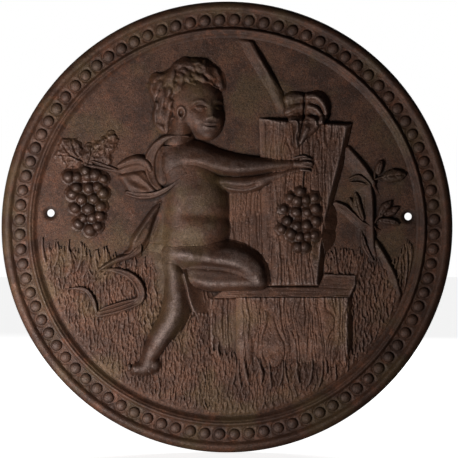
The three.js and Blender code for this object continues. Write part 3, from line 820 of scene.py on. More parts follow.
def grass_front(X, Z):
    tufts = [
        (22, -158, 38, 4.4, -0.1, -3, 4.0), (34, -156, 35, 4, -0.3, 4, 4.2),
        (14, -160, 30, 3.4, -0.05, -2, 3.6), (52, -158, 29, 3, 0.1, 2, 3.8),
        (61, -156, 26, 2.8, -0.1, -2, 3.4), (72, -156, 28, 3, -0.06, -2, 3.8),
        (81, -158, 31, 3.4, 0.1, 2, 3.8), (91, -160, 30, 2.8, 0.12, 2, 3.6), (99, -146, 26, 3, -0.04, 0, 4.2),
        (110, -160, 30, 2.4, -0.06, -1, 3.4), (118, -158, 29, 2.4, 0.08, 1, 3.4),
        (44, -162, 33, 2.6, -0.08, 0, 3.6), (5, -158, 30, 3, 0.1, 2, 3.2), (28, -150, 25, 2.6, 0.2, 2, 3.8),
        (66, -150, 21, 2.6, 0.15, 2, 3.8),
    ]
    return grass(X, Z, GRASS_FRONT, 17, tufts, rise=2.7, mat_rise=1.3)


BOARD_TOP = 7.8
BLOCK_TOP = 7.2

BOARD = [
    (31.5, 109), (125, 103), (120.5, 80), (116, 60), (111, 42), (107, 27), (102.5, 4), (100, -10), (97, -35),
    (95, -60), (35, -60), (34, 0), (33.5, 37),
]
BOARD_RIGHT = [
    (127, 108), (120.5, 80), (116, 60), (111, 42), (107, 27), (102.5, 4), (100, -10), (97, -35), (95, -64),
]


def board(X, Z):
    """An upright board, which sinks into the ground at its left and is rounded off at its right."""
    edge = inside(X, Z, BOARD)
    right, _ = to_line(X, Z, BOARD_RIGHT, smooth=False)
    left = (X - 34.5) / 6.5 + np.clip((Z - 40) / 20, 0, 3)
    h = soft_min(slab(edge, BOARD_TOP, 2.6), BOARD_TOP * right / 6.4, 0.5)
    h = soft_min(h, 1.4 + 0.34 * (X - 31), 0.8)
    h = soft_min(h, 5.4 * (0.3 + 0.7 * left), 0.5)
    face = unit(edge - 1.5) * unit((X - 39) / 2 + (Z > 60)) * unit((right - 5.6) / 1.5)
    return h + 1.25 * grain(X, Z, 20, [(60, 70, 8, 22), (88, -30, 6, 20), (58, 0, 7, 24)]) * face


def plank(X, Z):
    h = slab(inside(X, Z, [(2, 38), (36, 38), (38, -60), (2, -60)]), 1.9, 2.2)
    return h + 0.8 * grain(X, Z, 24) * unit(h - 1)


def in_grass(X, Z, level, layer):
    """How far each sample lies under a wavy level, where grass covers a block's foot."""
    return np.maximum(level - Z + 3 * noise(X / 7, 0 * X, layer), 0)


def block_front(X, Z):
    """The block's front, which sinks into the grass at its foot."""
    h = slab(inside(X, Z, [(8, -68.5), (125.5, -68.5), (126, -141), (8, -142)]), BLOCK_TOP, 1.6)
    h = soft_min(h, BLOCK_TOP * (125.8 - X) / 6.6, 0.5)
    h = soft_min(h, 3.4 + (X - 8) / 1.9, 1.2)
    knots = [(46, -116, 16, 28), (102, -92, 15, 24), (74, -80, 9, 16), (24, -104, 8, 28), (88, -128, 9, 14)]
    h += 1.4 * grain(X, Z, 28, knots, 5.0) * unit(h - 5.2) * unit((X - 14) / 3)
    return h - 0.26 * in_grass(X, Z, -118, 44)


def block_side(X, Z):
    h = slab(inside(X, Z, [(-18.5, -70), (16, -69), (16, -141), (-18.5, -131)]), 3.6, 2.4)
    h += 1.5 * grain(X, Z, 32) * unit(h - 2.4) * unit((6.5 - X) / 3)
    return h - 0.16 * in_grass(X, Z, -108, 46)


def block_top(X, Z):
    outline = [(-16.5, -72), (123, -72), (130, -57), (130, -46.5), (96, -45), (90, -58), (0, -58)]
    h = slab(inside(X, Z, outline), 5.2, 2.0) - 0.07 * (Z + 68)
    h = soft_min(h, 0.6 + 0.2 * (X + 16.5), 1)
    lines = noise(X / 40, Z / 1.6 + 0.02 * X, 36)
    return h - 0.5 * bell(lines / 0.25) * unit(h - 3.5)


# ---- Vine and leaves -------------------------------------


def vine_branch(X, Z):
    """A branch that swells out of the field on its lit side and drops sharply on the other."""
    crest = [(52, 134, 1.6), (49.5, 139, 3.6), (42, 151, 6), (33, 166, 6), (26, 178, 5), (20.5, 189, 3.6)]
    h = ridge(X, Z, crest, 10, 4)
    end = limb(X, Z, [(40, 149, 5, 4.2), (47, 138, 6, 3.6), (52, 128, 6, 2.6), (56, 118, 5, 1.4)])
    bark = noise((X + 0.55 * Z) / 1.5, (Z - 0.55 * X) / 14, 37)
    return smoothed(soft_max(h, end, 2), 1.4) + 0.25 * bark * (h > 1)


def vine_leaf(X, Z):
    """A big vine leaf, folded down its middle, with lobes that curl over on both sides and a long tail."""
    outline = [
        (57, 131), (63, 135), (76, 134), (84, 135.5), (93, 136), (99, 132), (102.5, 124), (102.5, 113),
        (99, 105), (92, 97), (87, 91), (80, 87), (71, 77), (66, 80), (65.5, 92), (65.5, 100), (62, 104),
        (59, 110), (56, 120),
    ]
    edge = inside(X, Z, outline, smooth=True) + 0.6 * noise(X / 3, Z / 3, 39)
    on_board = 6.2 * unit((111 - Z) / 6)
    lobes = [
        [(60, 127, 5, 4.6), (68, 129, 6, 5.6), (75, 129, 4.6, 5.8)],
        [(61, 115, 5, 4.8), (68, 118, 6.4, 6), (74, 120, 5, 6)],
        [(65, 107, 4, 5), (70, 110, 5, 6)],
        [(79, 130, 3.8, 6.6), (88, 129, 5, 8), (94.5, 124, 5, 8.6), (98, 116, 4, 7.4), (98, 110, 2.8, 5.8)],
        [(81, 120, 4, 6.4), (89, 117, 4.6, 8), (94, 110, 3.8, 7.4), (94, 104, 2.6, 5.4)],
        [(80, 110, 3.4, 5.6), (87, 106.5, 3, 6.6), (89, 101, 2.6, 5.4)],
        [(80, 97, 4, 5.4), (76, 90, 4, 5.6), (73, 84, 2.6, 4.6)],
    ]
    h = joined(3, slab(edge, 4.6, 4.4), *(limb(X, Z, stations) for stations in lobes))
    h = stroked(
        X, Z, h,
        (-0.6, 1.4, [(59, 121), (67, 123), (74, 124)]), (-0.6, 1.4, [(60, 111), (67, 114), (74, 115)]),
        (-1.1, 1.4, [(82, 124.5), (90, 121), (94, 114)]), (-0.9, 1.4, [(82, 114), (88, 110), (91, 104)]),
    )
    h = stroked(
        X, Z, h - 2.2 * mound(X, Z, 81.5, 103, 4.6, 3.4),
        (2.6, 1.3, [(62, 105), (69, 105), (70, 98), (68, 90), (69.5, 79)]),
        (-2.6, 1.4, [(77, 137), (77.5, 126), (77, 114), (75.5, 103), (73.5, 94), (72, 84)]),
    )
    return h + np.where(h > 1, on_board, 0) + 0.3 * noise(X / 2.5, Z / 2.5, 38)


def broad_leaf(X, Z, outline, base, tips, top):
    """A vine leaf in a jagged outline, puckered between the bent veins from its base to its tips."""
    edge = inside(X, Z, outline, smooth=True) + 1.6 * noise(X / 3.1, Z / 3.1, 39)
    pucker = 0.75 * noise(X / 2.8, Z / 2.8, 41) + 0.35 * noise(X / 1.4, Z / 1.4, 45)
    h = slab(edge, top, 4.0) + pucker * unit(edge / 1.5)
    for k, (x, z) in enumerate(tips):
        bend = (-2.2, 2.0, -1.4)[k % 3]
        vein = [base, ((base[0] + x) / 2 + bend, (base[1] + z) / 2 + bend), (x, z)]
        lit = [(at_x - 1.6, at_z - 1.2) for at_x, at_z in vein]
        h = stroked(X, Z, h, (0.2 * (k % 2) - 0.8, 1.0, vein), (0.45, 1.1, lit))
    return h


def left_leaf_outer(X, Z):
    outline = [
        (-167, 87), (-159, 89), (-149, 88), (-144, 82), (-142, 75), (-142, 68), (-145, 62), (-153, 59),
        (-164, 61), (-170, 65), (-173, 72), (-170, 79),
    ]
    return broad_leaf(X, Z, outline, (-144, 66), [(-165, 84), (-171, 72), (-155, 86)], 2.5)


def left_leaf_inner(X, Z):
    outline = [
        (-130, 87), (-124, 90), (-120, 95), (-115, 97), (-110, 93), (-108, 85), (-109, 78), (-114, 74),
        (-114, 68), (-115, 63), (-124, 62), (-131, 65), (-135, 72), (-137, 79), (-135, 84),
    ]
    return broad_leaf(X, Z, outline, (-134, 66), [(-116, 94), (-112, 80), (-131, 85)], 2.6)


def left_leaf_small(X, Z):
    outline = [(-143, 82), (-136, 84), (-131, 78), (-131, 69), (-134, 61), (-142, 61), (-146, 69), (-145, 77)]
    return broad_leaf(X, Z, outline, (-139, 62), [(-141, 80), (-135, 80)], 2.3)


def left_stem(X, Z):
    return stalks(
        X, Z,
        [
            (-143, 57, 2, 1.8), (-139, 61, 2.4, 2), (-130, 60, 2.4, 2.1), (-118, 57.5, 2.4, 2),
            (-105, 55, 2.2, 2),
        ],
        [(-135, 66, 2, 1.8), (-128, 64, 2.1, 2.1), (-117, 60, 2, 2), (-107, 56, 1.6, 1.8)],
        [(-143, 58, 1.8, 2.4), (-145, 64, 1.8, 2.6), (-144, 72, 1.4, 2.4)],
    )


def bunch(X, Z, grapes, base, radius):
    """Grapes that crowd on and beside each other over a base, the later ones of a list further out."""
    h = np.full(X.shape, -3.0)
    for k, (x, z) in enumerate(grapes):
        r = radius * (1 + 0.08 * math.sin(4.7 * k))
        lift = base + 0.6 * math.sin(2.1 * k + 1)
        h = np.maximum(h, base + lump(X, Z, x, z, r * 1.25, r * 1.25, 1.2, 0, 3))
        h = np.maximum(h, lift + lump(X, Z, x, z, r * 1.04, r, 0.74 * radius, 8 * math.sin(k), 2.2))
    return h + 0.12 * noise(X / 1.5, Z / 1.5, 43)


LEFT_GRAPES = [
    (-158, 50), (-141, 56), (-149.5, 50), (-131.5, 52), (-139, 51), (-123.5, 48), (-124, 34), (-154, 33),
    (-129, 40), (-150, 39), (-137.5, 38.5), (-145, 27.5), (-133, 28), (-151.5, 19), (-126, 20.5), (-138, 18),
    (-148, 3), (-143, 9), (-134, 9.5), (-136.5, -3), (-129.5, 1), (-127, 11),
]
HELD_GRAPES = [
    (73, 35), (63.5, 29), (87, 29), (70, 26), (78.5, 27), (56.5, 18), (88, 18), (69, 14.5), (80, 14.5),
    (60, 6), (88.5, 6), (70, 1), (79.5, 1.5), (54.5, -2), (87, -8), (64, -7), (72.5, -10), (80.5, -9),
    (70.5, -20), (77.5, -19.5),
]


def left_grapes(X, Z):
    return bunch(X, Z, LEFT_GRAPES, 0.4, 6.1)


def held_grapes(X, Z):
    return bunch(X, Z, HELD_GRAPES, 7.5, 5.5)


def held_stem(X, Z):
    return stalks(X, Z, [(76, 56, 2.2, 10.2), (75.2, 47, 2, 10), (75, 38, 1.9, 10)])


# ---- The plant on the right ------------------------------


def sprig_stem(X, Z):
    crest = [(148, -28, 3), (145.5, -18, 4.4), (144.5, 2, 4.8), (144, 26, 4.8), (142, 42, 4.4), (141, 46, 3)]
    return stroked(X, Z, ridge(X, Z, crest, 17, 3.6), (-0.7, 1.4, [(140, -20), (138.5, 4), (138, 34)]))


def sprig_blade(X, Z):
    h = ridge(X, Z, [(146, 44, 4), (139, 55.5, 4.8), (131, 66, 4.6), (120.5, 78, 3.4)], 14, 3.8)
    return soft_min(h, 0.3 * (X - 106), 1.5)


def sprig_twig(X, Z):
    return stalks(
        X, Z,
        [(122, 48, 1.4, 3.6), (130, 51, 2.2, 4.6), (137, 48, 2.2, 4.8), (143, 42, 2.2, 4.6)],
        [(124, 44.5, 1.2, 3.2), (133, 44, 1.8, 4), (141, 41, 1.4, 3.8)],
    )


def sprig_branch(X, Z):
    crest = [(147, 0, 3.6), (136, 4, 4.2), (126, 13, 4.2), (118, 20, 4), (109, 24, 3)]
    return stroked(X, Z, ridge(X, Z, crest, 8, 2.6), (-0.9, 0.9, [(112, 21), (122, 14.5), (134, 3)]))


def sprig_leaf_bud(X, Z):
    bud = leaf(X, Z, (150.5, 52), (154.5, 67), 4.4, 4.0, 0.6)
    return joined(0.4, bud, stalks(X, Z, [(147, 47, 1.6, 3.2), (147.5, 53, 2, 3.6), (148.5, 59, 1.4, 2.8)]))


def sprig_leaf_top(X, Z):
    blade = leaf(X, Z, (155, 49), (178.5, 52), 7.2, 4.4, 0.8, 2)
    return joined(0.4, blade, stalks(X, Z, [(146, 47, 1.6, 3.2), (154, 49.5, 1.7, 3.6), (163, 51.5, 1, 3.4)]))


def sprig_leaf_left(X, Z):
    large = leaf(X, Z, (136, 6), (128, 35), 5.0, 3.8, 1.5, 2)
    return joined(0.4, large, leaf(X, Z, (130, 14), (122, 30), 2.8, 3.0, 1))


def sprig_leaf_right(X, Z):
    upper = leaf(X, Z, (152, 10), (164, 26), 5.2, 4.2, 1, 2)
    lower = leaf(X, Z, (157, 12), (171.5, 20), 4.6, 4.0, -0.6, 2)
    stalk = stalks(X, Z, [(147, 4, 1.6, 3.2), (152, 11, 2, 3.8), (157, 18, 1.2, 3.4)])
    return joined(0.4, joined(0.3, upper, lower), stalk)


def sprig_leaf_low(X, Z):
    return leaf(X, Z, (151, 7), (172.5, 3), 4.2, 3.8, 0.8, 2)


def sprig_tail(X, Z):
    crest = [(172, -68, 2.8), (167, -50, 4.4), (158, -32, 4.8), (151, -20, 4.6), (148, -15, 3.4)]
    h = stroked(X, Z, ridge(X, Z, crest, 16, 3.6), (-0.9, 1.4, [(151, -28), (157, -42), (163, -60)]))
    return soft_max(h, leaf(X, Z, (146, -34), (134, -4), 4.0, 3.6, 2.5, 2), 0.5)


# ---- The sash --------------------------------------------


def ribbon(X, Z, stations, piping, hollow):
    """A ribbon through stations [x, z, half width, height], with raised edges round a hollow middle."""
    c = curve(stations, 1.5)
    d, along = to_line(X, Z, c, smooth=False)
    at = np.linspace(0, 1, len(c))
    half = np.interp(along, at, c[:, 2])
    edge = half - d
    h = soft_min(edge / 1.9, np.ones_like(edge), 0.5) * np.interp(along, at, c[:, 3])
    return h + (piping * bell(edge - 1.7) - hollow * unit(1 - (d / half) ** 2)) * (edge > 0)


def shoulder_sash(X, Z):
    """The sash from the shoulder round behind the arm, with the cloth that it draws along inside."""
    band = ribbon(X, Z, [
        (-38, 90, 2.6, 13), (-50, 90.5, 3.4, 12.4), (-60, 88.5, 4.2, 10.4), (-69, 82, 5.2, 7.8),
        (-75, 73, 6, 5.8), (-77, 63, 6.2, 5), (-76, 52, 5.8, 5.2), (-72, 43, 5.0, 6.4), (-65, 36.5, 3.8, 8.4),
    ], 0.7, 1.3)
    outline = [(-72, 76), (-60, 86), (-46, 84), (-44, 60), (-52, 42), (-64, 37), (-73, 46)]
    return smoothed(soft_max(band, patch(X, Z, outline, 6.2, 7), 2.5), 0.8)


def underarm_sash(X, Z):
    return ribbon(X, Z, [
        (-99, 34, 3.6, 4.4), (-87, 31.5, 4.4, 6), (-74, 32, 4.2, 8.4), (-62, 36.5, 3.9, 11.5),
        (-50, 44.5, 3.5, 13.6), (-41, 53, 3, 15.4),
    ], 0.8, 1.4)


def sash_knot(X, Z):
    """Two soft folds of cloth, one over the other, that spread to the left from under the arm."""
    upper = limb(X, Z, [
        (-108, 61, 2.5, 3.4), (-98, 65.5, 4.6, 4.8), (-88, 67.5, 5.2, 6), (-80, 64, 5.4, 6),
        (-76, 57, 5, 5.4),
    ])
    sheet = patch(X, Z, [(-112, 56), (-98, 65), (-84, 67), (-78, 56), (-90, 54), (-104, 52)], 4.2, 4)
    lower = stroked(
        X, Z,
        patch(X, Z, [
            (-109, 51), (-103, 55), (-93, 57), (-82, 58), (-74, 50), (-70, 40), (-64, 36), (-72, 29),
            (-86, 27), (-97, 31), (-104, 42),
        ], 4.4, 4),
        (1.4, 1.7, [(-94, 53), (-87, 49.5), (-81, 44), (-75, 39), (-65, 37.5)]),
        (1.1, 1.8, [(-96, 42), (-89, 38.5), (-79, 36.5)]),
        (-0.7, 2.2, [(-97, 47.5), (-88, 44), (-80, 39.5)]),
    )
    h = soft_max(soft_max(upper, sheet, 1.5), lower, 0.8)
    return smoothed(stroked(X, Z, h, (-0.9, 1.8, [(-110, 52), (-104, 56), (-94, 57.5), (-83, 58)])), 1.0)


def sash_fall(X, Z):
    outline = [
        (-64, 28), (-71, 23), (-79, 14), (-87, 3), (-96, -10), (-98, -20), (-104, -27), (-92, -30),
        (-83, -24), (-76, -12), (-71, 2), (-66, 15),
    ]
    return stroked(
        X, Z, patch(X, Z, outline, 5.0, 3.6),
        (1.7, 2.6, [(-67, 23), (-76, 11), (-85, -2), (-92, -14)]),
        (-2.4, 2.0, [(-69, 15), (-74, 2), (-78, -10), (-86, -23)]),
        (-1.0, 1.4, [(-80, 10), (-89, -3), (-95, -15)]),
        (1.1, 1.3, [(-66.5, 14), (-70.5, 2), (-75, -10)]),
    )


def sash_turn(X, Z):
    outline = [
        (-85, -12), (-77, -20), (-88, -31), (-104, -36), (-118, -42), (-131, -47), (-127, -38), (-112, -29),
        (-98, -24),
    ]
    return stroked(
        X, Z, patch(X, Z, outline, 4.8, 3.2),
        (1.4, 1.8, [(-86, -18), (-99, -28), (-112, -33), (-126, -42)]),
        (-2.0, 1.5, [(-80, -22), (-91, -30), (-105, -36), (-117, -41)]),
    )


def sash_loop(X, Z):
    """The sash doubles back on itself here and ends in a fan of folds."""
    h = ribbon(X, Z, [
        (-127, -43, 2, 3.4), (-114, -42.5, 3.2, 4.2), (-102, -45.5, 4.2, 5), (-92, -52, 5, 5.8),
        (-86, -62, 5.4, 6.2), (-86, -71, 5.2, 6), (-93, -76, 5.6, 5.4), (-104, -79, 6.6, 4.8),
        (-116, -83, 7, 4.4), (-129, -87, 4.4, 3.8),
    ], 0.3, 0.7)
    inner = [(-125, -45.5), (-112, -45.5), (-102, -49.5), (-94, -55.5), (-90.5, -63), (-91.5, -70)]
    h = stroked(X, Z, h, (1.6, 1.2, inner))
    for k in range(4):
        fold = [
            (-88 - 2.5 * k, -79 + 3 * k), (-104 - 1.5 * k, -85 + 3.6 * k), (-124 - 1.2 * k, -90 + 3.2 * k),
        ]
        h = stroked(X, Z, h, (-1.7, 1.1, fold), (0.6, 1.0, [(x - 1, z + 2) for x, z in fold]))
    return h


def sash_end(X, Z):
    h = ribbon(X, Z, [
        (-130, -88, 2.2, 3.8), (-131.5, -80, 3, 5), (-134.5, -71, 3.4, 5.2), (-140, -63.5, 3.4, 5),
        (-149, -61, 2.8, 4.4), (-161, -62, 1.6, 3),
    ], 0.5, 1.0)
    return h + 1.0 * line(X, Z, [(-129.5, -85), (-130, -77), (-133, -70)], 0.9)


# ---- The child -------------------------------------------


def standing_leg(X, Z):
    h = limb(X, Z, [
        (-54, -36, 12, 9.5), (-52.5, -46, 11, 10.6), (-51.5, -58, 11.6, 11.6), (-50.5, -67, 13, 12),
        (-51, -76, 14, 12.2), (-54, -88, 13.8, 12), (-59, -97, 13, 11.6), (-65, -106, 11.8, 11),
        (-72, -118, 10.4, 10), (-77.5, -131, 9, 8.6), (-80, -139, 8.4, 7.2),
    ], power=2.2)
    h += 0.8 * mound(X, Z, -54, -78, 10, 13)
    folds = [
        (-0.7, 3.4, [(-66, -52), (-55, -50), (-43, -53)]),
        (-0.7, 2.4, [(-87, -127), (-78, -130), (-70, -125)]),
    ]
    crest = limb(X, Z, [
        (-50, -62, 8, 11.2), (-49, -78, 9, 12.2), (-53, -92, 9, 12.2), (-61, -107, 8, 11.4),
        (-71, -124, 6.6, 9.6),
    ])
    outline = [(-58, -14), (-74, -18), (-76, -34), (-71, -52), (-66, -68), (-60, -76), (-50, -60)]
    h = joined(3, stroked(X, Z, h, *folds), crest, patch(X, Z, outline, 3.0, 5))
    inner = limb(X, Z, [
        (-45, -48, 9, 8), (-42, -62, 8.4, 7.6), (-41, -77, 7.6, 6.6), (-46, -92, 7, 5.6), (-56, -106, 6, 4.6),
    ])
    return smoothed(soft_max(h, inner, 4), 2.6)


def standing_foot(X, Z):
    h = limb(X, Z, [(-74, -137, 9, 7), (-82, -140.5, 8.4, 6.2), (-90, -141.5, 6.6, 5.2)], power=2.2)
    for k in range(5):
        h = soft_max(h, lump(X, Z, -97 + 4.8 * k, -140 - 0.7 * k, 3.1, 4.2, 5.6 + 0.1 * k), 0.4)
    return h


def kneeling_foot(X, Z):
    h = ridge(X, Z, [(-43, -47, 9.4), (-39.5, -60, 9), (-37, -72, 8.4), (-33, -83, 7.4)], 24, 3.4)
    h = soft_min(h, 1.2 * (-12 - X - 0.1 * (Z + 50)), 1.5)
    for k in range(5):
        h = soft_max(h, lump(X, Z, -34 + 3.4 * k, -85.5 - 0.5 * k, 2.3, 3.6, 6.4 - 0.6 * k), 0.6)
    return h


def far_arm(X, Z):
    h = limb(X, Z, [
        (-14, 46, 8, 7.5), (8, 43.5, 10, 8), (24, 43.5, 9.6, 8), (40, 48, 7.6, 8), (56, 52.8, 6.4, 8),
        (72, 57, 5.2, 8),
    ])
    return stroked(
        X, Z, h,
        (-1.5, 1.9, [(-3, 42), (8, 39.8), (19, 39.4), (31, 42.5)]),
        (0.7, 1.5, [(-4, 39), (8, 36.6), (19, 36.2), (30, 40), (46, 45)]),
    )


def torso(X, Z):
    """Chest and belly, with the folds between them, and the hip's side behind."""
    h = limb(X, Z, [
        (-50, 74, 20, 10), (-42, 60, 26, 12.4), (-34, 44, 30, 13.6), (-31.5, 28, 32.5, 14.2),
        (-31, 12, 33.5, 14.4), (-31, -3, 34, 14.6), (-38, -17, 29, 13.2),
    ], power=3.2)
    belly, chest = mound(X, Z, -26, -4, 20, 14), mound(X, Z, -28, 32, 17, 11)
    h += 1.8 * belly + 1.5 * chest + 0.5 * mound(X, Z, -46, 20, 12, 18)
    h = stroked(
        X, Z, h,
        (-2.4, 5.0, [(-46, 12), (-30, 12), (-14, 10.5), (2, 8), (9, 11)]),
        (-1.2, 4.0, [(-42, -13), (-26, -15), (-10, -13.5), (3, -9)]),
        (-0.5, 4.0, [(-20, 25), (-10, 22.5), (2, 24)]),
    )
    h -= 0.6 * mound(X, Z, -10.5, -5, 2.6, 2.2)
    outline = [(-56, 56), (-66, 48), (-70, 26), (-70, 4), (-75, -14), (-74, -24), (-60, -28), (-45, 0)]
    return smoothed(soft_max(h, patch(X, Z, outline, 3.0, 5), 3), 2.4)


def calf(X, Z):
    """The folded calf, with a lower fullness that fills the fold up to the thigh."""
    h = limb(X, Z, [
        (33, -55, 9.6, 12), (22, -55.5, 9.2, 12.4), (4, -56, 8.8, 12.2), (-16, -56, 8.6, 11.4),
        (-34, -52, 8.6, 9.6),
    ], power=2.2)
    fold = limb(X, Z, [
        (30, -48, 9, 11), (14, -47, 10, 11), (-8, -46, 10.5, 10.4), (-34, -43, 10, 9.2),
    ], power=2.2)
    return smoothed(soft_max(h, fold, 4), 3)


def thigh(X, Z):
    h = limb(X, Z, [
        (-54, -27, 11, 9), (-44, -27.5, 13, 12), (-28, -28.5, 14.6, 13.8), (-10, -29, 15.6, 14.6),
        (6, -31, 16, 15), (19, -36, 15, 14.8), (29, -43.5, 12.8, 14), (33, -52, 10.4, 12.4),
    ], power=2.2)
    crest = limb(X, Z, [
        (-52, -27, 9, 11), (-38, -29, 10, 14.8), (-20, -31, 10.4, 16.4), (0, -34, 11, 16.8),
        (17, -40, 11, 16), (27, -49, 9, 14),
    ])
    knee, hip = mound(X, Z, 32, -48, 7, 8), mound(X, Z, -40, -26, 15, 8)
    return smoothed(soft_max(h, crest, 3), 3) + 0.6 * knee + 1.8 * hip


def near_arm(X, Z):
    h = limb(X, Z, [
        (-56, 60, 14, 9.5), (-53, 68, 15.6, 11.6), (-44, 71.5, 17.4, 13.2), (-29, 70, 15.6, 13.8),
        (-12, 65, 14, 13.2), (3, 62, 12.8, 12), (18, 60.6, 11.2, 11.4), (33, 60.8, 9.4, 10.8),
        (48, 61.8, 8, 10.6), (63, 62.5, 7.4, 10.2), (74, 62.8, 7.2, 10),
    ], power=2.3)
    crest = limb(X, Z, [
        (-55, 60, 9, 9.6), (-46, 66, 11.5, 14), (-30, 66, 10.6, 15.8), (-12, 61, 9.4, 15),
        (5, 57.6, 8.6, 13.6), (22, 57.6, 7.4, 12.4), (42, 59.6, 6, 11.5), (62, 61.6, 5.4, 10.8),
    ])
    h = smoothed(soft_max(h, crest, 3), 2.6)
    return h - 0.8 * line(X, Z, [(64, 69), (67, 62.5), (65, 56)], 1.6)


def near_hand(X, Z):
    """A fist: four bent fingers side by side over the palm, and the thumb across them."""
    h = limb(X, Z, [(68, 62.6, 7.2, 10.4), (77, 62.2, 8, 10.8), (83, 62, 7, 9.8)])
    for k, z in enumerate((68.2, 64.2, 60.2, 56.2)):
        reach = 84.8 - 0.7 * abs(k - 1.2)
        knuckles = [(73, z * 0.9 + 6.2, 2.6, 10.2), (78, z, 2.8, 11.2)]
        tip = [(reach - 1.5, z - 0.4, 2.7, 10.6), (reach, z - 1.2, 2.2, 9)]
        h = joined(1.0, h, stalks(X, Z, knuckles + tip))
    thumb = stalks(X, Z, [
        (67, 68.6, 2.8, 10), (72, 70, 2.8, 10.6), (77, 70.4, 2.4, 10.6), (80.5, 69.2, 2, 10),
    ])
    return joined(0.9, h, thumb)


# The head is a plain one on a carver's usual ratios, turned half to the right. Heights are shares of
# the way from the chin up to the crown.
CHIN_Z, CROWN_Z = 87.0, 152.0
FACE_MIDDLE = [
    (-20, 0.86), (-17, 0.62), (-16, 0.50), (-14.5, 0.34), (-15.5, 0.20), (-18.5, 0.02),
]  # [x, share]
NEAR_SIDE, FAR_SIDE = -1, 1


def up_the_face(shares):
    """The z of a height on the face."""
    return CHIN_Z + (CROWN_Z - CHIN_Z) * shares


def head(X, Z):
    """Skull, jaw and neck run together, with the features raised on them."""
    skull = lump(X, Z, -33, 124, 29, 31, 13.2, 0, 3.0)
    jaw = lump(X, Z, -22, 109, 19.5, 23, 13, 10, 3.0)
    neck = limb(X, Z, [(-44, 108, 15, 10), (-46, 97, 15, 10.5), (-49, 86, 17, 11)])
    h = soft_max(skull, jaw, 4)
    middle = np.interp(Z, *zip(*sorted((up_the_face(s), x) for x, s in FACE_MIDDLE)))
    h = soft_max(h, neck, 2)
    return h + 1.2 * features(X, Z, X - middle)


def features(X, Z, aside):
    """Eyes, nose, mouth, chin, cheeks and ear as shallow forms on the head's round."""
    eye_z, brow_z, nose_z, mouth_z = (up_the_face(share_up) for share_up in (0.47, 0.585, 0.315, 0.205))
    h = np.zeros(X.shape)
    for side, reach, half, socket in ((NEAR_SIDE, 10.6, 5.2, 1.7), (FAR_SIDE, 8.4, 3.7, 0.7)):
        u = (aside - side * reach) / half
        v = Z - eye_z
        h -= socket * np.exp(-((u / 1.3) ** 2) - ((v - 0.8) / 4.2) ** 2)
        ball = unit(1 - (u / 0.95) ** 2 - (v / 2.7) ** 2)
        h += (0.4 + 0.8 * socket) * ball**0.7
        # The upper lid's fold over the ball, and the closed lids' line low on it.
        h += 0.7 * bell((v - 2.7 + 1.5 * u * u) / 0.8) * np.exp(-((u / 1.15) ** 6))
        h -= 0.9 * bell((v + 1.2 - 0.8 * u * u) / 0.6) * np.exp(-((u / 0.95) ** 6))
        h += 1.1 * bell((Z - brow_z + 1.5 * u * u) / 2.2) * np.exp(-((u / 1.35) ** 4))
    # The nose: a ridge that grows downwards, its tip and its two wings.
    down = unit((brow_z - Z) / (brow_z - nose_z))
    bridge = bell(aside / (3.0 + 1.4 * down))
    ends = unit((brow_z + 3 - Z) / 6) * unit((Z - nose_z + 2.4) / 2.4)
    h += (0.6 + 1.8 * down**1.3) * bridge * ends
    h += 1.2 * mound(aside, Z, 0, nose_z + 1.6, 3.6, 3.0)
    for side in (-3.9, 3.3):
        h += 1.2 * mound(aside, Z, side, nose_z + 0.9, 2.4, 2.3)
        h -= 0.8 * mound(aside, Z, side * 0.55, nose_z - 1.2, 1.3, 1.0)
    # Lips with a soft parting, and the hollows round them.
    h += 1.2 * np.exp(-((aside / 5.6) ** 4) - ((Z - mouth_z - 1.9) / 1.7) ** 2)
    h += 1.4 * np.exp(-((aside / 4.6) ** 4) - ((Z - mouth_z + 2.3) / 1.9) ** 2)
    h -= 1.4 * np.exp(-((aside / 6.2) ** 4) - ((Z - mouth_z - 0.03 * aside**2) / 0.8) ** 2)
    h -= 0.6 * mound(aside, Z, 0, mouth_z + 4.8, 1.4, 2)
    h -= 0.8 * np.exp(-((aside / 5) ** 2) - ((Z - mouth_z + 6.0) / 1.9) ** 2)
    h += 1.4 * mound(aside, Z, 0, up_the_face(0.05), 6.5, 4.5)
    h += 1.2 * mound(aside, Z, -13.5, up_the_face(0.27), 9, 8.5)
    h += 0.6 * mound(aside, Z, 9, up_the_face(0.28), 5, 7)
    # The ear: a rim round a hollow, and its lobe.
    ear_x, ear_z = -45.5, up_the_face(0.41)
    ring = np.hypot((X - ear_x) / 4.6, (Z - ear_z) / 6.4)
    h += 1.7 * bell((ring - 0.78) / 0.26) + 1.2 * mound(X, Z, ear_x - 0.3, ear_z - 6.4, 2.8, 2.6)
    h -= 1.2 * bell(ring / 0.5)
    return h


HAIR = [
    (-74, 130), (-77, 137), (-78, 143), (-76, 149), (-71, 153), (-64, 155), (-57, 159), (-52, 165),
    (-44, 168), (-35, 169), (-27, 169), (-19, 167), (-12, 162), (-7, 155), (-4, 146), (-3.5, 138),
    (-9, 137.5), (-15, 140), (-19, 142), (-24, 140), (-29, 137), (-34, 134.5), (-39, 132), (-43, 127),
    (-50, 124), (-51, 115), (-51, 107), (-52, 97), (-59, 91), (-67, 96), (-71, 102), (-73, 112), (-71, 121),
]
HAIR_CROWN = (-52, 158)
LOCK_PITCH = 5.8


def lock_path(x, z, length, curl):
    """The way of a lock from its root: away from the crown, sinking and curling as it goes."""
    path = [(x, z)]
    away = math.hypot(x - HAIR_CROWN[0], z - HAIR_CROWN[1]) + 1
    angle = math.atan2((z - HAIR_CROWN[1]) / away - 0.75, (x - HAIR_CROWN[0]) / away)
    steps = 6
    for k in range(steps):
        turned = angle + curl * math.cos(3.2 * k / steps + 0.3)
        x, z = x + length / steps * math.cos(turned), z + length / steps * math.sin(turned)
        path.append((x, z))
    return path


